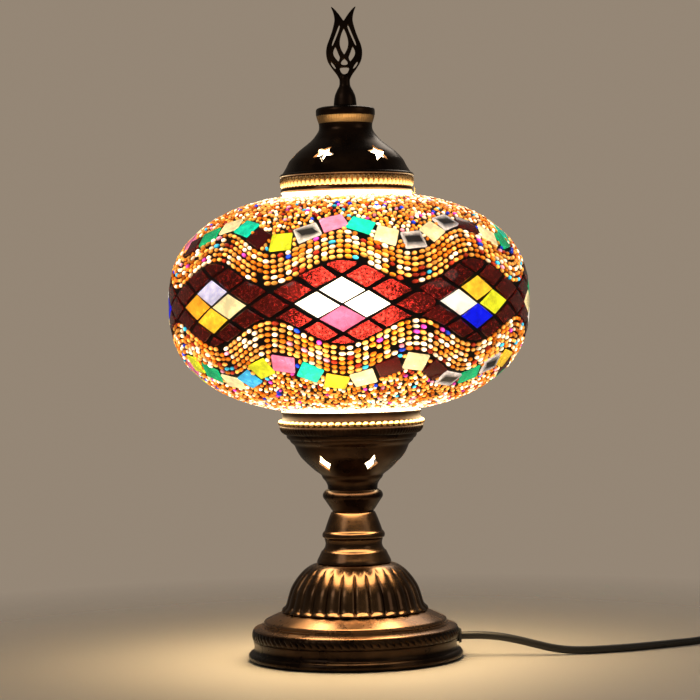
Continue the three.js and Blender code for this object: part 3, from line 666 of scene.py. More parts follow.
def make_gallery():
    outline = (
        smooth([(17.2, 117.9), (17.5, 120.6), (18.8, 123.2), (20.6, 125.4), (21.4, 127.4)], 4)
        + smooth([(22.6, 128.4), (26.7, 131.5), (31.2, 135.7), (35.2, 139.9), (37.8, 144), (39.6, 148.2)], 4)
        + smooth([(40.4, 149), (42.2, 150.6), (43.2, 152.4)], 3)
        + smooth([(44.2, 152.9), (45, 154.2), (45.2, 155.4)], 3)
        + [(45.2, 155.9), (47.6, 161.9), (48.7, 162.3), (48.7, 165.8)]
        + smooth([(48.4, 166), (47.9, 167.8), (47.9, 169.8), (48.5, 171.6)], 3)
        + [(48.3, 172), (46.6, 172), (46.6, 163), (38.5, 163), (38.5, 161.6), (46.6, 161.6), (43.6, 156.4),
           (37.8, 147.6), (33.9, 140.8), (28, 135), (20.4, 128.6), (16.4, 122.4), (16, 119.4), (5.4, 119.4),
           (5.4, 117.9)]
    )
    # The bowl takes the darker copy of the bronze and its top band the near-black copper: painted shade.
    bands = [("copper_painted_deep_shade", (48.7, 165.8), (46.6, 172)), ("lit_lining", (38.5, 161.6), (5.4, 119.4))]
    bowl = lathe("gallery_shell", outline, "shaded_bronze", 160, bands=bands)
    lozenges = [prism(lozenge(), 14, azimuth, 32, 136.5, -48) for azimuth in range(24, 384, 60)]
    finish_piece(cut(bowl, lozenges), "root", ["gallery_bowl"])
    # The beads take the bright copy of the metal: a painted highlight.
    ring = bead_ring("gallery_bead_ring", 48.9, 164.1, 66, (2.45, 1.95, 2.0), 24, "highlit_metal")
    finish_piece(ring, "root")

    ribs = 110
    bulge = smooth([(45.3, 155.9), (47.4, 156.6), (49.2, 158.6), (49.9, 160.8), (49.4, 162.1)], 4)

    def radial(azimuth, r, z):
        share = (z - 155.9) / 6.2
        depth = 0.5 * max(0, math.sin(math.pi * share)) if r > 46 else 0
        return r - depth * (1 - np.sqrt(np.abs(np.sin(ribs / 2 * azimuth))))

    outline = bulge + [(48, 162.1), (45.3, 156)]
    # The ribbed bead takes the near-black copper: painted shade.
    finish_piece(lathe("gallery_ribbed_bead", outline, "copper_painted_deep_shade", ribs * 6, radial, 60), "root")


def lozenge():
    half_width, half_height, pinch = 4.9, 7.9, 0.43
    points = []
    for x, y in [(1, 0), (0, 1), (-1, 0), (0, -1)]:
        points.append((half_width * x, half_height * y))
        points.append((half_width * pinch * (x - y), half_height * pinch * (y + x)))
    return points


# ---------------------------------------------------------------- cap and finial


def star(turn, tip=8, notch=3.7):
    points = []
    for i in range(10):
        angle = math.radians(90 + turn + 36 * i)
        reach = notch if i % 2 else tip
        points.append((reach * math.cos(angle), reach * math.sin(angle)))
    return points


NECK_FOOT = (18.6, 370.4)  # the band round the cap's neck, which gets a painted reflection
NECK_TOP = (20.2, 375.6)


def make_cap():
    outline = (
        [(44.1, 322.3), (45.1, 322.3)]
        + smooth([(45.6, 322.7), (45.8, 324), (45.3, 325.6)], 3)
        + [(44.9, 326), (44.9, 333.4)]
        + smooth([(46.1, 333.6), (46.5, 334.4), (45.6, 335.6)], 3)
        + smooth([(44.5, 336), (41.9, 340.1), (39.8, 344.2), (38.1, 346.5), (34.3, 350.5), (29.1, 354.6),
                  (23.9, 358.8), (20.4, 363), (18.7, 366), (18.4, 368.4), NECK_FOOT], 4)[:-1]
        + [NECK_FOOT, (19.2, 372.6), (19.7, 374.2), NECK_TOP]
        + smooth([(20.4, 376.4), (20.4, 379.4), (19.6, 380.8), (17.4, 381.6)], 3)
        + [(3.3, 381.7), (3.3, 380.3), (18, 380.3), (18.6, 376), (16.9, 368.3), (18.9, 362.3), (22.8, 357.9)]
        + [(33.2, 349.4), (36.7, 345.4), (44.1, 334), (44.1, 331.7), (40.3, 331.7), (40.3, 330.3)]
        + [(44.1, 330.3)]
    )
    # The shell takes the darker copy of the bronze (painted shade) with a plain bronze rim, and the neck band
    # the bright copy (a painted reflection of the globe's light).
    bands = [
        ("bronze", outline[0], (44.9, 326)),
        ("highlit_metal", NECK_FOOT, NECK_TOP),
        ("lit_lining", (3.3, 380.3), (44.1, 331.7)),
    ]

    def streaks(azimuth, r, z):
        on_band = r > 18 and NECK_FOOT[1] < z < NECK_TOP[1]
        return r + 0.14 * np.cos(64 * azimuth) if on_band else r

    shell = lathe("cap_dome", outline, "shaded_bronze", 320, streaks, bands=bands)
    punches = [(-25, -28), (37, 4), (96, 15), (155, -9), (215, 22), (275, -18)]
    stars = [prism(star(turn), 14, azimuth, 36.5, 348.3, 42) for azimuth, turn in punches]
    finish_piece(cut(shell, stars), "cap", ["cap_shell"])

    ribs, foot, height = 76, 326.2, 7.1
    outline = [(44.6, foot)] + [(45, foot + height * i / 10) for i in range(11)] + [(44.6, foot + height)]

    def radial(azimuth, r, z):
        share = (z - foot) / height
        lobe = np.abs(np.sin(ribs / 2 * azimuth)) ** 0.8
        swell = (0.55 + 0.45 * share) * max(0, math.sin(math.pi * share)) ** 0.4
        return r + 1.8 * lobe * swell if r > 44.9 else r

    # The rib band takes the bright copy of the metal: a painted highlight.
    finish_piece(lathe("cap_rib_band", outline, "highlit_metal", ribs * 8, radial, 60), "cap")


# The tulip's right half, drawn upright: (distance from the middle, height).
PETAL_OUTSIDE = [
    (3.5, 400.6), (5.4, 404.3), (8.2, 408), (11.4, 413.3), (12.5, 418.6), (11.9, 423.9), (9.9, 429.2),
    (8, 434.5), (6.6, 439.8), (6.3, 442.5), (6.7, 445.6), (7.5, 448.4), (8.7, 451.3),
]
PETAL_INSIDE = [(8.7, 451.3), (6.6, 449.8), (3.9, 446.8), (1.6, 443.6), (0, 441.2)]
SIDE_HOLES = [
    # the slit inside the petal, the leaf below it, and the slit at the foot
    ([(2.3, 440), (4, 436.4), (6.3, 430.6), (8, 426.4), (8.6, 422.8)], [(7, 426), (5.1, 430.4), (3, 435.8)]),
    ([(5.9, 423.6), (7.4, 420.4), (7, 417), (4, 413)], [(3.1, 416), (4.2, 419)]),
    ([(9.6, 413.4), (8.4, 410.2), (5.5, 407.3)], [(6.4, 409.6), (7.9, 411.9)]),
]
MIDDLE_LEAF = [(0, 418), (2.2, 422), (2.9, 426.6), (1.9, 431.6), (0, 436.2)]
MIDDLE_DROP = [(0, 410.7), (1.8, 411.1), (2.3, 412.4), (1.2, 414.2), (0, 415)]
MIDDLE_BOWL = [(0, 404.4), (1.7, 405), (2.8, 406.8), (3, 408.7), (0, 409.1)]
LEAF_THICKNESS = 3.9


def mirrored(half):
    """A loop made of a half from bottom to top and its mirror image."""
    return half + [(-x, z) for x, z in half[::-1] if x > 1e-9]


def make_finial():
    petal = smooth(PETAL_OUTSIDE, 5) + smooth(PETAL_INSIDE, 4)[1:]
    plate = prism(mirrored(petal), LEAF_THICKNESS, name="tulip", material="iron")
    holes = [mirrored(smooth(half, 4)) for half in (MIDDLE_LEAF, MIDDLE_DROP, MIDDLE_BOWL)]
    for out, back in SIDE_HOLES:
        loop = smooth(out, 4) + smooth([out[-1]] + back + [out[0]], 4)[1:-1]
        holes += [loop[::-1], [(-x, z) for x, z in loop]]
    cut(plate, [prism(loop, 2 * LEAF_THICKNESS, material="iron") for loop in holes])
    foot = [(7.4, 382), (7.95, 382.6), (7.9, 384), (7.1, 389.5), (5.3, 393.7), (3.9, 396.4), (3.6, 399)]
    foot += [(3.65, 402), (2.6, 404.2)]
    turned_foot = lathe("foot", [(0, 382)] + smooth(foot, 3) + [(0, 404.6)], "iron", 64)
    joined = plate.modifiers.new("join", "BOOLEAN")
    joined.object = turned_foot
    joined.operation = "UNION"
    soften(plate, 0.3, 4)
    bpy.data.objects.remove(turned_foot)
    finish_piece(plate, "finial", ["finial"])


# ---------------------------------------------------------------- globe


def globe_tables():
    """Arc length, radius and height along the glass's curve, from the equator up, by latitude."""
    latitude = np.linspace(0, math.pi / 2, 2001)
    r = GLASS_RADIUS * np.cos(latitude) ** (2 / GLASS_POWER)
    h = GLASS_HALF_HEIGHT * np.sin(latitude) ** (2 / GLASS_POWER)
    arc = np.concatenate([[0], np.cumsum(np.hypot(np.diff(r), np.diff(h)))])
    return latitude, arc, r, h


LATITUDES, ARCS, RADII, HEIGHTS = globe_tables()
SLOPE_R = np.gradient(RADII, ARCS)
SLOPE_H = np.gradient(HEIGHTS, ARCS)
ARC_AT_NECK = float(np.interp(-(NECK_RADIUS + 3), -RADII, ARCS))
ARC_AT_BARE_RING = float(np.interp(-52.5, -RADII, ARCS))
HEMISPHERES = {1: "upper", -1: "lower"}


def radius_at(arc):
    return np.interp(np.abs(arc), ARCS, RADII)


def on_globe(azimuth, arc, lift):
    """Points lifted off the glass, from arrays of azimuth, arc length from the equator, and lift."""
    azimuth, arc, lift = np.broadcast_arrays(*(np.asarray(v, float) for v in (azimuth, arc, lift)))
    size = np.abs(arc)
    normal_r = np.interp(size, ARCS, SLOPE_H)
    normal_h = -np.interp(size, ARCS, SLOPE_R)
    r = np.interp(size, ARCS, RADII) + lift * normal_r
    h = np.interp(size, ARCS, HEIGHTS) + lift * normal_h
    return np.stack([r * np.sin(azimuth), -r * np.cos(azimuth), GLOBE_Z + np.sign(arc + 1e-12) * h], -1)


def wave(trough, crest, azimuth):
    """A latitude that waves round the globe, highest over each cluster, as an arc length."""
    phase = np.cos(PERIODS * (np.asarray(azimuth) - FIRST_CLUSTER))
    latitude = np.radians((trough + crest) / 2 + (crest - trough) / 2 * phase)
    return np.interp(latitude, LATITUDES, ARCS)


def tile_edge(azimuth):
    return wave(5.4, 17, azimuth)


def string_edge(azimuth):
    return wave(20.6, 33.4, azimuth)


def walk_along(azimuths, arcs):
    """How far along a line on the globe each of its points is, in millimetres."""
    steps = np.linalg.norm(np.diff(on_globe(azimuths, arcs, 2), axis=0), axis=1)
    return np.concatenate([[0], np.cumsum(steps)])


class Glasswork:
    """Gathers tiles or beads into one mesh, with the colour and the painted glow of each."""

    def __init__(self):
        self.vertices, self.faces = [], []
        self.glass, self.glow = [], []
        self.count = 0

    def add(self, points, faces, glass, glow):
        """glass and the painted glow are one colour each, or one row for each point."""
        self.vertices.append(points)
        self.faces += [[self.count + i for i in face] for face in faces]
        self.glass.append(np.broadcast_to(glass, (len(points), 3)))
        self.glow.append(np.broadcast_to(glow, (len(points), 3)))
        self.count += len(points)

    def build(self, name, material, sharp=40):
        colours = {"glass": np.concatenate(self.glass), "glow": np.concatenate(self.glow)}
        return mesh_object(name, np.concatenate(self.vertices), self.faces, material, sharp, colours)


def add_tile(work, outline, glass, glow, flatness=0.35, streak=None):
    """A tile on the globe. outline is a loop of (azimuth, arc) points, anticlockwise from outside.
    streak is the size of a dark mark in its middle, as shares of the tile's width and height."""
    outline = np.array(outline, float)
    centre = outline.mean(0)
    radius = radius_at(centre[1])
    local = np.stack([(outline[:, 0] - centre[0]) * radius, outline[:, 1] - centre[1]], -1)
    reach = np.linalg.norm(local, axis=1, keepdims=True)
    inset = local * np.clip(1 - TILE_BEVEL / np.maximum(reach, 1e-6), 0.2, 1)
    inner = np.stack([inset[:, 0] / radius + centre[0], inset[:, 1] + centre[1]], -1)
    sag = flatness * local[:, 0] ** 2 / (2 * GLASS_RADIUS)
    middle = centre + (inner - centre) * np.array(streak or (0.45, 0.45))
    n = len(outline)
    rings = [
        on_globe(*outline.T, 0.6),
        on_globe(*outline.T, TILE_TOP - TILE_BEVEL * 0.8 + sag),
        on_globe(*inner.T, TILE_TOP + sag),
        on_globe(*middle.T, TILE_TOP + 0.2 * sag),
        on_globe([centre[0]], [centre[1]], TILE_TOP),
    ]
    points = np.concatenate(rings)
    faces = [list(range(n))[::-1]]
    for ring in range(3):
        faces += skirt(ring * n, (ring + 1) * n, n)
    faces += [[3 * n + i, 3 * n + (i + 1) % n, 4 * n] for i in range(n)]
    lit = np.ones((len(points), 1))
    if streak:
        lit[3 * n:] = 0.03
    work.add(points, faces, lit * glass, lit * glow)


# One bead: a rounded dome on the grout, longer than it is wide.
BEAD_SIDES = 10
BEAD_RINGS = [(0.86, 0.0), (1.0, 0.3), (0.9, 0.66), (0.56, 0.92)]


def bead_template():
    n = BEAD_SIDES
    angle = np.arange(n) * TAU / n
    points = [np.stack([np.cos(angle) * r, np.sin(angle) * r, np.full(n, h)], -1) for r, h in BEAD_RINGS]
    points = np.concatenate(points + [np.array([[0, 0, 1.0]])])
    faces = [list(range(n))[::-1]]
    for ring in range(len(BEAD_RINGS) - 1):
        faces += skirt(ring * n, (ring + 1) * n, n)
    last = (len(BEAD_RINGS) - 1) * n
    faces += [[last + i, last + (i + 1) % n, len(points) - 1] for i in range(n)]
    return points, faces


BEAD_POINTS, BEAD_FACES = bead_template()
BEAD_RISE = BEAD_POINTS[:, 2:3]
BEAD_FOOT = 1.3
BEAD_HEIGHT = 2.1


def add_bead(work, azimuth, arc, length, width, turn, glass, rim, core):
    around, along = rotated(BEAD_POINTS[:, 0] * length / 2, BEAD_POINTS[:, 1] * width / 2, turn)
    lift = BEAD_FOOT + BEAD_POINTS[:, 2] * BEAD_HEIGHT * min(1.15, width / 2.7)
    points = on_globe(azimuth + around / radius_at(arc), arc + along, lift)
    # Painted highlight: the painted glow runs from the rim colour at the foot to the far brighter core colour
    # at the top.
    share = np.clip((BEAD_RISE - 0.58) / 0.34, 0, 1)
    work.add(points, BEAD_FACES, glass, np.array(rim) * (1 - share) + np.array(core) * share)


# Colours: the glass, and the light painted into it as a glow, which stands in for the bulb's light through it.
RUBY = ((0.105, 0.0065, 0.0055), (0.008, 0.0004, 0.0005))
TILE_COLOURS = {
    "white": ((0.95, 0.93, 0.85), (0.95, 0.9, 0.78)),
    "lilac": ((0.8, 0.8, 0.98), (0.62, 0.6, 0.85)),
    "cream": ((0.95, 0.85, 0.5), (0.95, 0.78, 0.4)),
    "yellow": ((0.95, 0.62, 0.05), (0.95, 0.58, 0.03)),
    "orange": ((0.95, 0.4, 0.03), (0.95, 0.42, 0.02)),
    "lime": ((0.75, 0.8, 0.05), (0.72, 0.75, 0.02)),
    "green": ((0.02, 0.5, 0.2), (0.0, 0.42, 0.16)),
    "turquoise": ((0.02, 0.75, 0.5), (0.0, 0.68, 0.42)),
    "sky": ((0.1, 0.55, 0.85), (0.03, 0.45, 0.78)),
    "blue": ((0.01, 0.02, 0.8), (0.0, 0.006, 0.75)),
    "pink": ((0.9, 0.25, 0.42), (0.85, 0.2, 0.36)),
    "rose": ((0.2, 0.04, 0.08), (0.6, 0.09, 0.2)),
    "ruby": ((0.12, 0.005, 0.006), (0.03, 0.0015, 0.002)),
    "mirror": ((0.8, 0.78, 0.75), (0.55, 0.5, 0.48)),
}
BEAD_COLOURS = {
    # name: (share, glass, rim glow, core glow); both glows are painted light, the core one a painted highlight
    # on the bead's top
    "gold": (0.41, (0.95, 0.55, 0.12), (0.36, 0.06, 0.002), (2.0, 0.9, 0.16)),
    "amber": (0.26, (0.9, 0.35, 0.03), (0.26, 0.03, 0.0), (1.3, 0.36, 0.02)),
    "clear": (0.22, (0.98, 0.85, 0.6), (0.55, 0.16, 0.02), (3.4, 2.8, 1.8)),
    "red": (0.05, (0.5, 0.03, 0.02), (0.12, 0.005, 0.0), (0.8, 0.07, 0.02)),
    "blue": (0.015, (0.03, 0.08, 0.8), (0.0, 0.01, 0.2), (0.03, 0.15, 1.4)),
    "cyan": (0.015, (0.05, 0.6, 0.85), (0.0, 0.1, 0.2), (0.15, 1.2, 1.6)),
    "magenta": (0.015, (0.8, 0.05, 0.5), (0.2, 0.0, 0.1), (1.5, 0.15, 0.9)),
    "pink": (0.015, (0.9, 0.35, 0.45), (0.35, 0.08, 0.1), (1.6, 0.65, 0.8)),
}
BEAD_NAMES = list(BEAD_COLOURS)
BEAD_SHARES = [BEAD_COLOURS[n][0] for n in BEAD_NAMES]


def bead_colour(white=0.0):
    name = random.choices(BEAD_NAMES, BEAD_SHARES)[0]
    if random.random() < white:
        name = "clear"
    _, glass, rim, core = BEAD_COLOURS[name]
    level = random.uniform(0.35, 1.25)
    return glass, [level * v for v in rim], [level * v for v in core]


# The coloured diamonds of each cluster, left, top, right and bottom, from the front cluster round.
CLUSTERS = {
    0: ("white", "white", "white", "rose"),
    1: ("white", "yellow", "lime", "blue"),
    2: ("cream", "green", "orange", "white"),
    3: ("yellow", "white", "pink", "turquoise"),
    4: ("white", "lime", "cream", "orange"),
    5: ("turquoise", "yellow", "white", "pink"),
    6: ("orange", "white", "blue", "cream"),
    7: ("orange", "lilac", "cream", "yellow"),
}
HALF_STEP = math.radians(7.5)  # half a diamond's width
HALF_ROW = 9.0
ROW_HEIGHT = -1.5  # of the row of clusters, from the equator
JOINT = {"ruby": 2.1, "coloured": 1.1}  # grout between two diamonds
LEAF = (3, 0)  # the lattice place of a tile cut with one round end


def diamond_outline(column, row, joint):
    """The diamond at a lattice place, cut back to the band between the bead strings, or None."""
    centre = FIRST_CLUSTER + column * HALF_STEP
    middle = ROW_HEIGHT + row * HALF_ROW
    shrink = joint / 2 * math.hypot(1 / HALF_ROW, 1 / (HALF_STEP * GLASS_RADIUS))
    half_width = HALF_STEP * (1 - shrink)
    half_height = HALF_ROW * (1 - shrink)
    across = np.linspace(-1, 1, 15)
    azimuth = centre + across * half_width
    reach = (1 - np.abs(across)) * half_height
    if (column, row) == LEAF:
        round_end = np.sqrt(1 - np.clip(across, 0, 1) ** 2)
        reach = np.minimum(1 + across, round_end) * 0.85 * half_height
    limit = tile_edge(azimuth) - 1.0
    top = np.minimum(middle + reach, limit)
    bottom = np.maximum(middle - reach, -limit)
    kept = top - bottom > -1e-9
    if kept.sum() < 6 or (top - bottom)[kept].sum() * half_width * GLASS_RADIUS / 7 < 22:
        return None
    azimuth, top, bottom = azimuth[kept], top[kept], bottom[kept]
    lower = list(zip(azimuth, bottom))
    upper = [(a, t) for a, t, b in zip(azimuth, top, bottom) if t - b > 0.05]
    return lower + upper[::-1]


def hand_laid(outline):
    """The outline of a tile as it is set by hand: turned, skewed and shrunk a little."""
    outline = np.array(outline)
    centre = outline.mean(0)
    scale = np.array([radius_at(centre[1]), 1])
    turn = random.gauss(0, 0.035)
    skew = random.gauss(0, 0.05)
    size = random.uniform(0.93, 1.01)
    x, y = ((outline - centre) * scale * size).T
    around, along = rotated(x, y, turn)
    return centre + np.stack([around + skew * y, along], -1) / scale


def make_diamonds():
    ruby, colour = Glasswork(), Glasswork()
    places = {(-1, 0): 0, (0, 1): 1, (1, 0): 2, (0, -1): 3}
    for column in range(-3, 6 * PERIODS - 3):
        for row in range(-4, 5):
            if (column + row) % 2 == 0:
                continue
            cluster = (column + 3) // 6
            place = places.get((column - 6 * cluster, row))
            outline = diamond_outline(column, row, JOINT["ruby" if place is None else "coloured"])
            if outline is None:
                continue
            outline = hand_laid(outline)
            if place is None:
                level = random.uniform(0.6, 1.5)
                add_tile(ruby, outline, RUBY[0], [level * v for v in RUBY[1]])
            else:
                glass, glow = TILE_COLOURS[CLUSTERS[cluster % PERIODS][place]]
                add_tile(colour, outline, glass, glow)
    finish_piece(ruby.build("ruby_diamonds", "ruby"), "globe", ["diamond_tiles"])
    finish_piece(colour.build("coloured_diamonds", "tile"), "globe")


STRINGS = 6
BEAD_PITCH = 5.2
MISSING_BEADS = 0.035  # share of the places in a string that are empty


def make_bead_strings(side):
    """The wavy strings of beads above or below the diamonds."""
    work = Glasswork()
    for string in range(STRINGS):
        share = (string + 0.5) / STRINGS
        azimuths = np.linspace(0, TAU, 2881)
        arcs = tile_edge(azimuths) * (1 - share) + string_edge(azimuths) * share
        walk = walk_along(azimuths, arcs)
        count = round(walk[-1] / BEAD_PITCH)
        for i in range(count):
            if random.random() < MISSING_BEADS:
                continue
            length = random.choice([3.9, 4.5, 4.9, 5.2])
            at = (i + random.uniform(-0.08, 0.08)) * walk[-1] / count
            azimuth = float(np.interp(at, walk, azimuths))
            arc = float(np.interp(at, walk, arcs)) + random.gauss(0, 0.18)
            ahead = float(np.interp(at + 1.5, walk, arcs)) - float(np.interp(at, walk, arcs))
            turn = math.asin(max(-1, min(1, ahead / 1.5))) + random.gauss(0, 0.07)
            colours = bead_colour()
            add_bead(work, azimuth, side * arc, length, random.uniform(2.6, 3.0), side * turn, *colours)
    name = HEMISPHERES[side]
    beads = work.build(f"{name}_bead_rows", "bead", None)
    finish_piece(beads, "globe", [f"{name}_bead_strings"])


# Tiles beyond the strings, in order round the globe from the back; the front ones are set.
BORDER_TILE = 13.6
BORDER_PITCH = 18.4
BORDER_FRONT = {
    "upper": ["ruby", "green", "cream", "turquoise", "ruby", "lime", "mirror", "pink", "turquoise", "cream",
              "mirror", "cream", "mirror", "ruby", "cream", "green"],
    "lower": ["lime", "green", "cream", "sky", "lime", "pink", "turquoise", "yellow", "cream", "ruby",
              "cream", "ruby", "mirror", "green", "mirror", "yellow"],
}
BORDER_COLOURS = ["turquoise", "cream", "pink", "lime", "mirror", "ruby", "yellow", "green", "white", "sky"]


def make_border_tiles(side):
    """One row of square tiles that follows the strings' outer edge. Returns their outlines."""
    work = Glasswork()
    azimuths = np.linspace(-math.pi, math.pi, 2881)
    arcs = string_edge(azimuths) + 1.2 + BORDER_TILE / 2
    walk = walk_along(azimuths, arcs)
    count = 2 * round(walk[-1] / BORDER_PITCH / 2)
    front = BORDER_FRONT[HEMISPHERES[side]]
    outlines = []
    for i in range(count):
        at = (i + 0.5) * walk[-1] / count
        azimuth = float(np.interp(at, walk, azimuths))
        arc = float(np.interp(at, walk, arcs))
        ahead = float(np.interp(at + 3, walk, arcs)) - float(np.interp(at - 3, walk, arcs))
        turn = math.atan2(ahead, 6) + random.gauss(0, 0.06)
        width = random.uniform(14.2, 16.4)
        height = random.uniform(11.5, 13.2)
        radius = float(radius_at(arc))
        corners = []
        for x, y in rounded_square(width / 2, height / 2):
            around, along = rotated(x, y, turn)
            corners.append((azimuth + around / radius, side * (arc + along)))
        if side < 0:
            corners.reverse()
        place = i - (count - len(front)) // 2
        name = front[place] if 0 <= place < len(front) else random.choice(BORDER_COLOURS)
        glass, glow = TILE_COLOURS[name]
        outlines.append((azimuth, arc, turn, width, height))
        streak = (0.72, 0.34) if name == "mirror" else None
        add_tile(work, corners, glass, glow, flatness=0.6, streak=streak)
    name = HEMISPHERES[side]
    tiles = work.build(f"{name}_border_tiles", "tile")
    finish_piece(tiles, "globe", [f"{name}_tiles_and_beads"])
    return outlines


def rounded_square(half_width, half_height, corner=0.8):
    points = []
    for sx, sy in [(1, -1), (1, 1), (-1, 1), (-1, -1)]:
        cx, cy = sx * (half_width - corner), sy * (half_height - corner)
        start = math.atan2(sy, sx) - math.pi / 4
        for i in range(3):
            angle = start + i * math.pi / 4
            points.append((cx + corner * math.cos(angle), cy + corner * math.sin(angle)))
    return points


def on_a_tile(azimuth, arc, radius, tiles):
    """Whether a bead laid here would touch a border tile."""
    for middle_azimuth, middle_arc, turn, width, height in tiles:
        dx = ((azimuth - middle_azimuth + math.pi) % TAU - math.pi) * radius
        dy = arc - middle_arc
        if abs(dx) < 14 and abs(dy) < 14:
            x, y = rotated(dx, dy, -turn)
            if abs(x) < width / 2 + BEAD_MARGIN and abs(y) < height / 2 + BEAD_MARGIN:
                return True
    return False


class Spacing:
    """Keeps points a distance apart, with the points already placed sorted into cubes of that size."""

    def __init__(self, distance):
        self.distance = distance
        self.cubes = {}

    def place(self, point):
        """Keeps the point and says True, or says False if another is too near."""
        cube = tuple(int(v // self.distance) for v in point)
        for step in itertools.product((-1, 0, 1), repeat=3):
            for other in self.cubes.get(tuple(c + s for c, s in zip(cube, step)), ()):
                if math.dist(point, other) < self.distance:
                    return False
        self.cubes.setdefault(cube, []).append(point)
        return True


BEAD_MARGIN = 1.3  # between a loose bead's middle and a tile


def make_scattered_beads(side, tiles):
    """Loose beads packed between the border tiles and the bare ring at the neck."""
    halves = [Glasswork(), Glasswork()]
    spacing = Spacing(2.75)
    attempts = 60000
    for _ in range(attempts):
        arc = random.uniform(30, ARC_AT_BARE_RING)
        azimuth = random.uniform(-math.pi, math.pi)
        radius = float(radius_at(arc))
        if random.random() > radius / GLASS_RADIUS:
            continue
        if arc < float(string_edge(azimuth)) + 1.2 or on_a_tile(azimuth, arc, radius, tiles):
            continue
        if not spacing.place(tuple(on_globe(azimuth, arc, 2))):
            continue
        colours = bead_colour(max(0.0, (arc - ARC_AT_BARE_RING + 26) / 30))
        length, width = random.uniform(2.9, 3.9), random.uniform(2.3, 2.8)
        turn = random.uniform(0, math.pi)
        add_bead(halves[0 if azimuth < 0 else 1], azimuth, side * arc, length, width, turn, *colours)
    for half, label in zip(halves, ("left", "right")):
        beads = half.build(f"{HEMISPHERES[side]}_scattered_beads_{label}", "bead", None)
        finish_piece(beads, "globe")


BARE_RADIUS = 0.0545
# Painted light: the glass's glow, strong on the bare rings at the necks and faint on the rest, standing in for
# the bulb's light through it.
NECK_PAINTED_LIGHT = (2.6, 2.2, 1.6)
BODY_PAINTED_LIGHT = (0.03, 0.024, 0.015)


def paint_glow(obj, glow_at):
    """Gives each vertex the painted glow that the given function finds from its place in metres."""
    layer = obj.data.attributes.new("glow", "FLOAT_COLOR", "POINT")
    for vertex, value in zip(obj.data.vertices, layer.data):
        value.color = (*glow_at(*vertex.co), 1)


def globe_profile(reach, lift):
    """The globe's outline, from one arc length below the equator to the same above it."""
    points = on_globe(0, np.linspace(-reach, reach, 61), lift)
    return [(float(math.hypot(x, y)), float(z)) for x, y, z in points]


def make_glass_and_grout():
    outline = [(NECK_RADIUS, NECK_LOW)] + globe_profile(ARC_AT_NECK, 0) + [(NECK_RADIUS, NECK_HIGH)]
    outline += [(39.6, NECK_HIGH)] + globe_profile(ARC_AT_NECK, -2.6)[::-1] + [(39.6, NECK_LOW)]
    glass = lathe("frosted_globe", outline, "frosted", 160, None, 60)
    glass.visible_shadow = False
    paint_glow(glass, lambda x, y, z: NECK_PAINTED_LIGHT if math.hypot(x, y) < BARE_RADIUS else BODY_PAINTED_LIGHT)
    finish_piece(glass, "globe", ["globe_glass"])

    outer, inner = (globe_profile(ARC_AT_BARE_RING + 1, lift) for lift in (GROUT, 0.05))
    skin = lathe("grout_skin", outer + inner[::-1], "grout", 160, None, 60)
    skin.visible_shadow = False
    finish_piece(skin, "globe")


# ---------------------------------------------------------------- bulb


THREAD_PITCH = 3.63


def make_bulb():
    outer = smooth([(28.6, 222.6), (29.6, 227), (30, 234), (29.6, 242), (27.6, 252), (23, 261),
                    (15.5, 267.6), (8, 270.2), (0.0, 271)], 4)
    inner = [(max(0.0, r - 1.2), z - 1.2 * (z > 250)) for r, z in outer[::-1]]
    inner[0] = (0.0, 269.8)
    dome = lathe("bulb_opal_dome", outer + inner, "opal", 64, None, 60)
    dome.visible_shadow = False
    finish_piece(dome, "bulb", ["bulb_dome"])

    side = [(13.4, 186.3), (14.4, 190), (16.4, 196.5), (19, 203), (22.6, 210), (26.6, 217), (28.6, 222)]
    body = lathe("bulb_body", [(0, 186.3)] + smooth(side, 3) + [(0, 222)], "white_moulding", 64)
    finish_piece(body, "bulb", ["bulb_housing"])

    thread_foot, thread_top = 170.4, 183.9

    def thread(azimuth, r, z):
        turns = z / THREAD_PITCH - azimuth / TAU
        return r - 0.45 * (1 - np.cos(TAU * turns)) if thread_foot <= z < thread_top else r

    heights = np.arange(thread_foot, thread_top, THREAD_PITCH / 8)
    profile = [(0, 168.5), (12.2, 168.5), (12.8, 169.6)] + [(13.2, float(z)) for z in heights]
    profile += [(13.2, 184.4), (13.2, 186), (0, 186)]
    finish_piece(lathe("bulb_screw_cap", profile, "steel", 64, thread), "bulb", ["bulb_cap"])


def make_holder():
    white = "white_moulding"
    cup = [(5.3, 126.5), (10.5, 126.5)]
    cup += smooth([(11.2, 128), (11.5, 132), (14.5, 136.8), (18.8, 141), (20, 144)], 3)
    cup += [(20, 151.2), (19.5, 151.7), (18, 151.7), (18, 145), (10, 136.5), (5.3, 136.5)]
    finish_piece(lathe("holder_cup", cup, white, 64), "root", ["holder_base"])
    sleeve = [(18, 152), (19.5, 152), (20, 152.5), (20, 157)]
    sleeve += smooth([(19.6, 157.4), (19.6, 158.6), (20, 159), (20, 186), (19.2, 187.6), (17.4, 188)], 3)
    sleeve += [(14.8, 188), (14.8, 186.6), (18, 186.6)]
    finish_piece(lathe("holder_sleeve", sleeve, white, 64), "root", ["holder_shell"])


# ---------------------------------------------------------------- cord

CORD_DIAMETER = 5.5


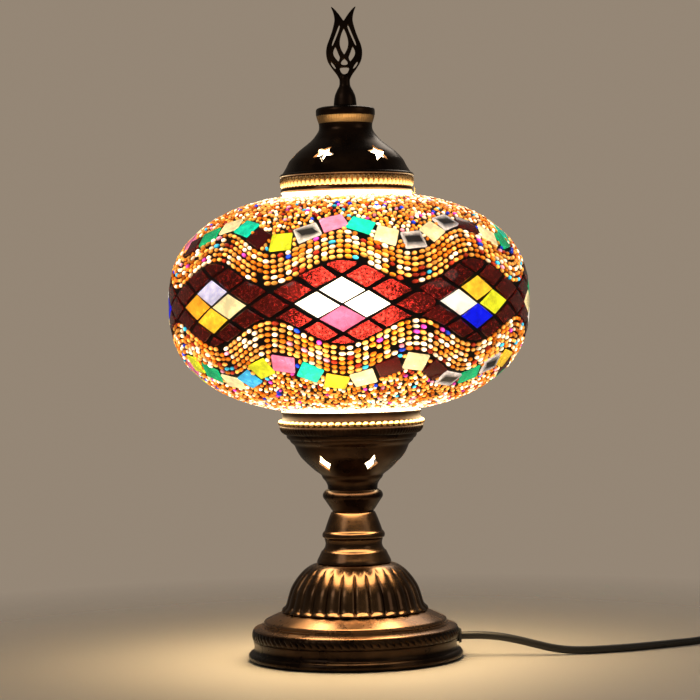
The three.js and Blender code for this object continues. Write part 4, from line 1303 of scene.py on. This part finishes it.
def make_cord():
    from_base = [
        (70.6, 0, 14.3), (78, 0, 14.3), (86, -0.3, 14.2), (94, -0.9, 13.7), (103, -1.8, 12.6),
        (113, -2.9, 10.6), (124, -4, 7.9), (135, -4.7, 5.2), (146, -4.8, 3.5), (158, -3.9, 2.9),
        (170, -1.5, 2.8), (184, 2.8, 2.8), (198, 8.8, 2.8), (212, 16, 2.8), (226, 23.8, 2.8),
        (239, 31, 2.9), (250, 36.8, 3.7), (260, 41.2, 5.3), (268.5, 43.6, 6.9), (277, 44, 7.45),
    ]
    through_switch = [(290, 44, 7.45), (304, 44, 7.45), (318, 44, 7.45)]
    to_coil = [
        (331, 44, 7.45), (338.5, 43.7, 7), (346, 42, 5.8), (352.8, 38.6, 4.4), (359.1, 33.1, 3.2),
        (362.8, 27.9, 2.9), (366, 23.2, 2.8),
    ]
    to_plug = [(346, -67.9, 8.2), (341.5, -70.3, 7.7), (337.4, -71.6, 7.2), (333.3, -72, 7)]
    points = from_base + through_switch + to_coil + coil_turns() + to_plug
    curve = bpy.data.curves.new("mains_cord", "CURVE")
    curve.dimensions = "3D"
    curve.bevel_depth = CORD_DIAMETER / 2 * MM
    curve.bevel_resolution = 5
    curve.resolution_u = 4
    curve.use_fill_caps = True
    spline = curve.splines.new("BEZIER")
    spline.bezier_points.add(len(points) - 1)
    for handle, point in zip(spline.bezier_points, points):
        handle.co = [v * MM for v in point]
        handle.handle_left_type = handle.handle_right_type = "AUTO"
    curve.materials.append(MATERIALS["flex"])
    cord = added("mains_cord", curve)
    finish_piece(cord, "root", ["cord_run", "cord_link", "cord_coil", "cord_tail"])
    on_it = [
        softened("switch_lower_half", "switch_base", 0.45, 3, "root"),
        softened("switch_upper_half", "switch_cover", 0.45, 3, "root"),
        softened("switch_button", "switch_rocker", 0.3, 3, "rocker"),
        softened("plug_moulding", "plug_body", 0.4, 6, "root"),
    ]
    kept = ("switch_contact", "switch_screw_1", "switch_screw_2", "plug_pin_1", "plug_pin_2")
    on_it += [NODES[name] for name in kept]


def coil_turns():
    """Flat spirals: inwards on the table, then outwards on top."""
    centre_x, centre_y = 345, -20
    outer, inner = 42, 22.2
    on_table, layer = 2.8, 5.45
    start, end = 35, -60 - 7 * 360
    points = []
    steps = round((start - end) / 24)
    for i in range(steps + 1):
        share = i / steps
        radius = outer - (outer - inner) * (1 - abs(2 * share - 1))
        x, y = rotated(radius, 0, math.radians(start + (end - start) * share))
        climb = min(1, max(0, (share - 0.46) / 0.08))
        points.append((centre_x + x, centre_y + y, on_table + layer * climb))
    return points


# ---------------------------------------------------------------- the CAD pieces that stay

STAYING = {
    "felt": ["felt_pad"],
    "ballast": ["base_weight"],
    "steel": ["base_washer", "base_nut", "threaded_rod", "gallery_washer", "gallery_nut", "terminal_screw_1",
              "terminal_screw_2", "finial_washer", "finial_nut", "finial_stud", "switch_screw_1",
              "switch_screw_2", "plug_pin_1", "plug_pin_2"],
    "rubber": ["cord_grommet"],
    "moulding": ["bulb_insulator"],
    "porcelain": ["terminal_block"],
    "white_moulding": ["bulb_led_board"],
    "brass": ["screw_shell", "centre_contact", "bulb_tip", "cap_clip_1", "cap_clip_2",
              "switch_contact"],
    "flex": ["inner_cord"],
    "live": ["live_core"],
    "neutral": ["neutral_core"],
}


def finish_staying():
    for material, names in STAYING.items():
        for name in names:
            mesh = NODES[name].data
            mesh.materials.clear()
            mesh.materials.append(MATERIALS[material])
            mesh.shade_smooth()
            mesh.set_sharp_from_angle(angle=math.radians(32))


make_cord()
make_base()
make_fluted_dome()
make_stem_rings()
make_gallery()
make_cap()
make_glass_and_grout()
make_diamonds()
for hemisphere in (1, -1):
    make_bead_strings(hemisphere)
    border = make_border_tiles(hemisphere)
    make_scattered_beads(hemisphere, border)
make_bulb()
make_holder()
make_finial()
finish_staying()

bpy.context.scene.view_settings.view_transform = "Standard"
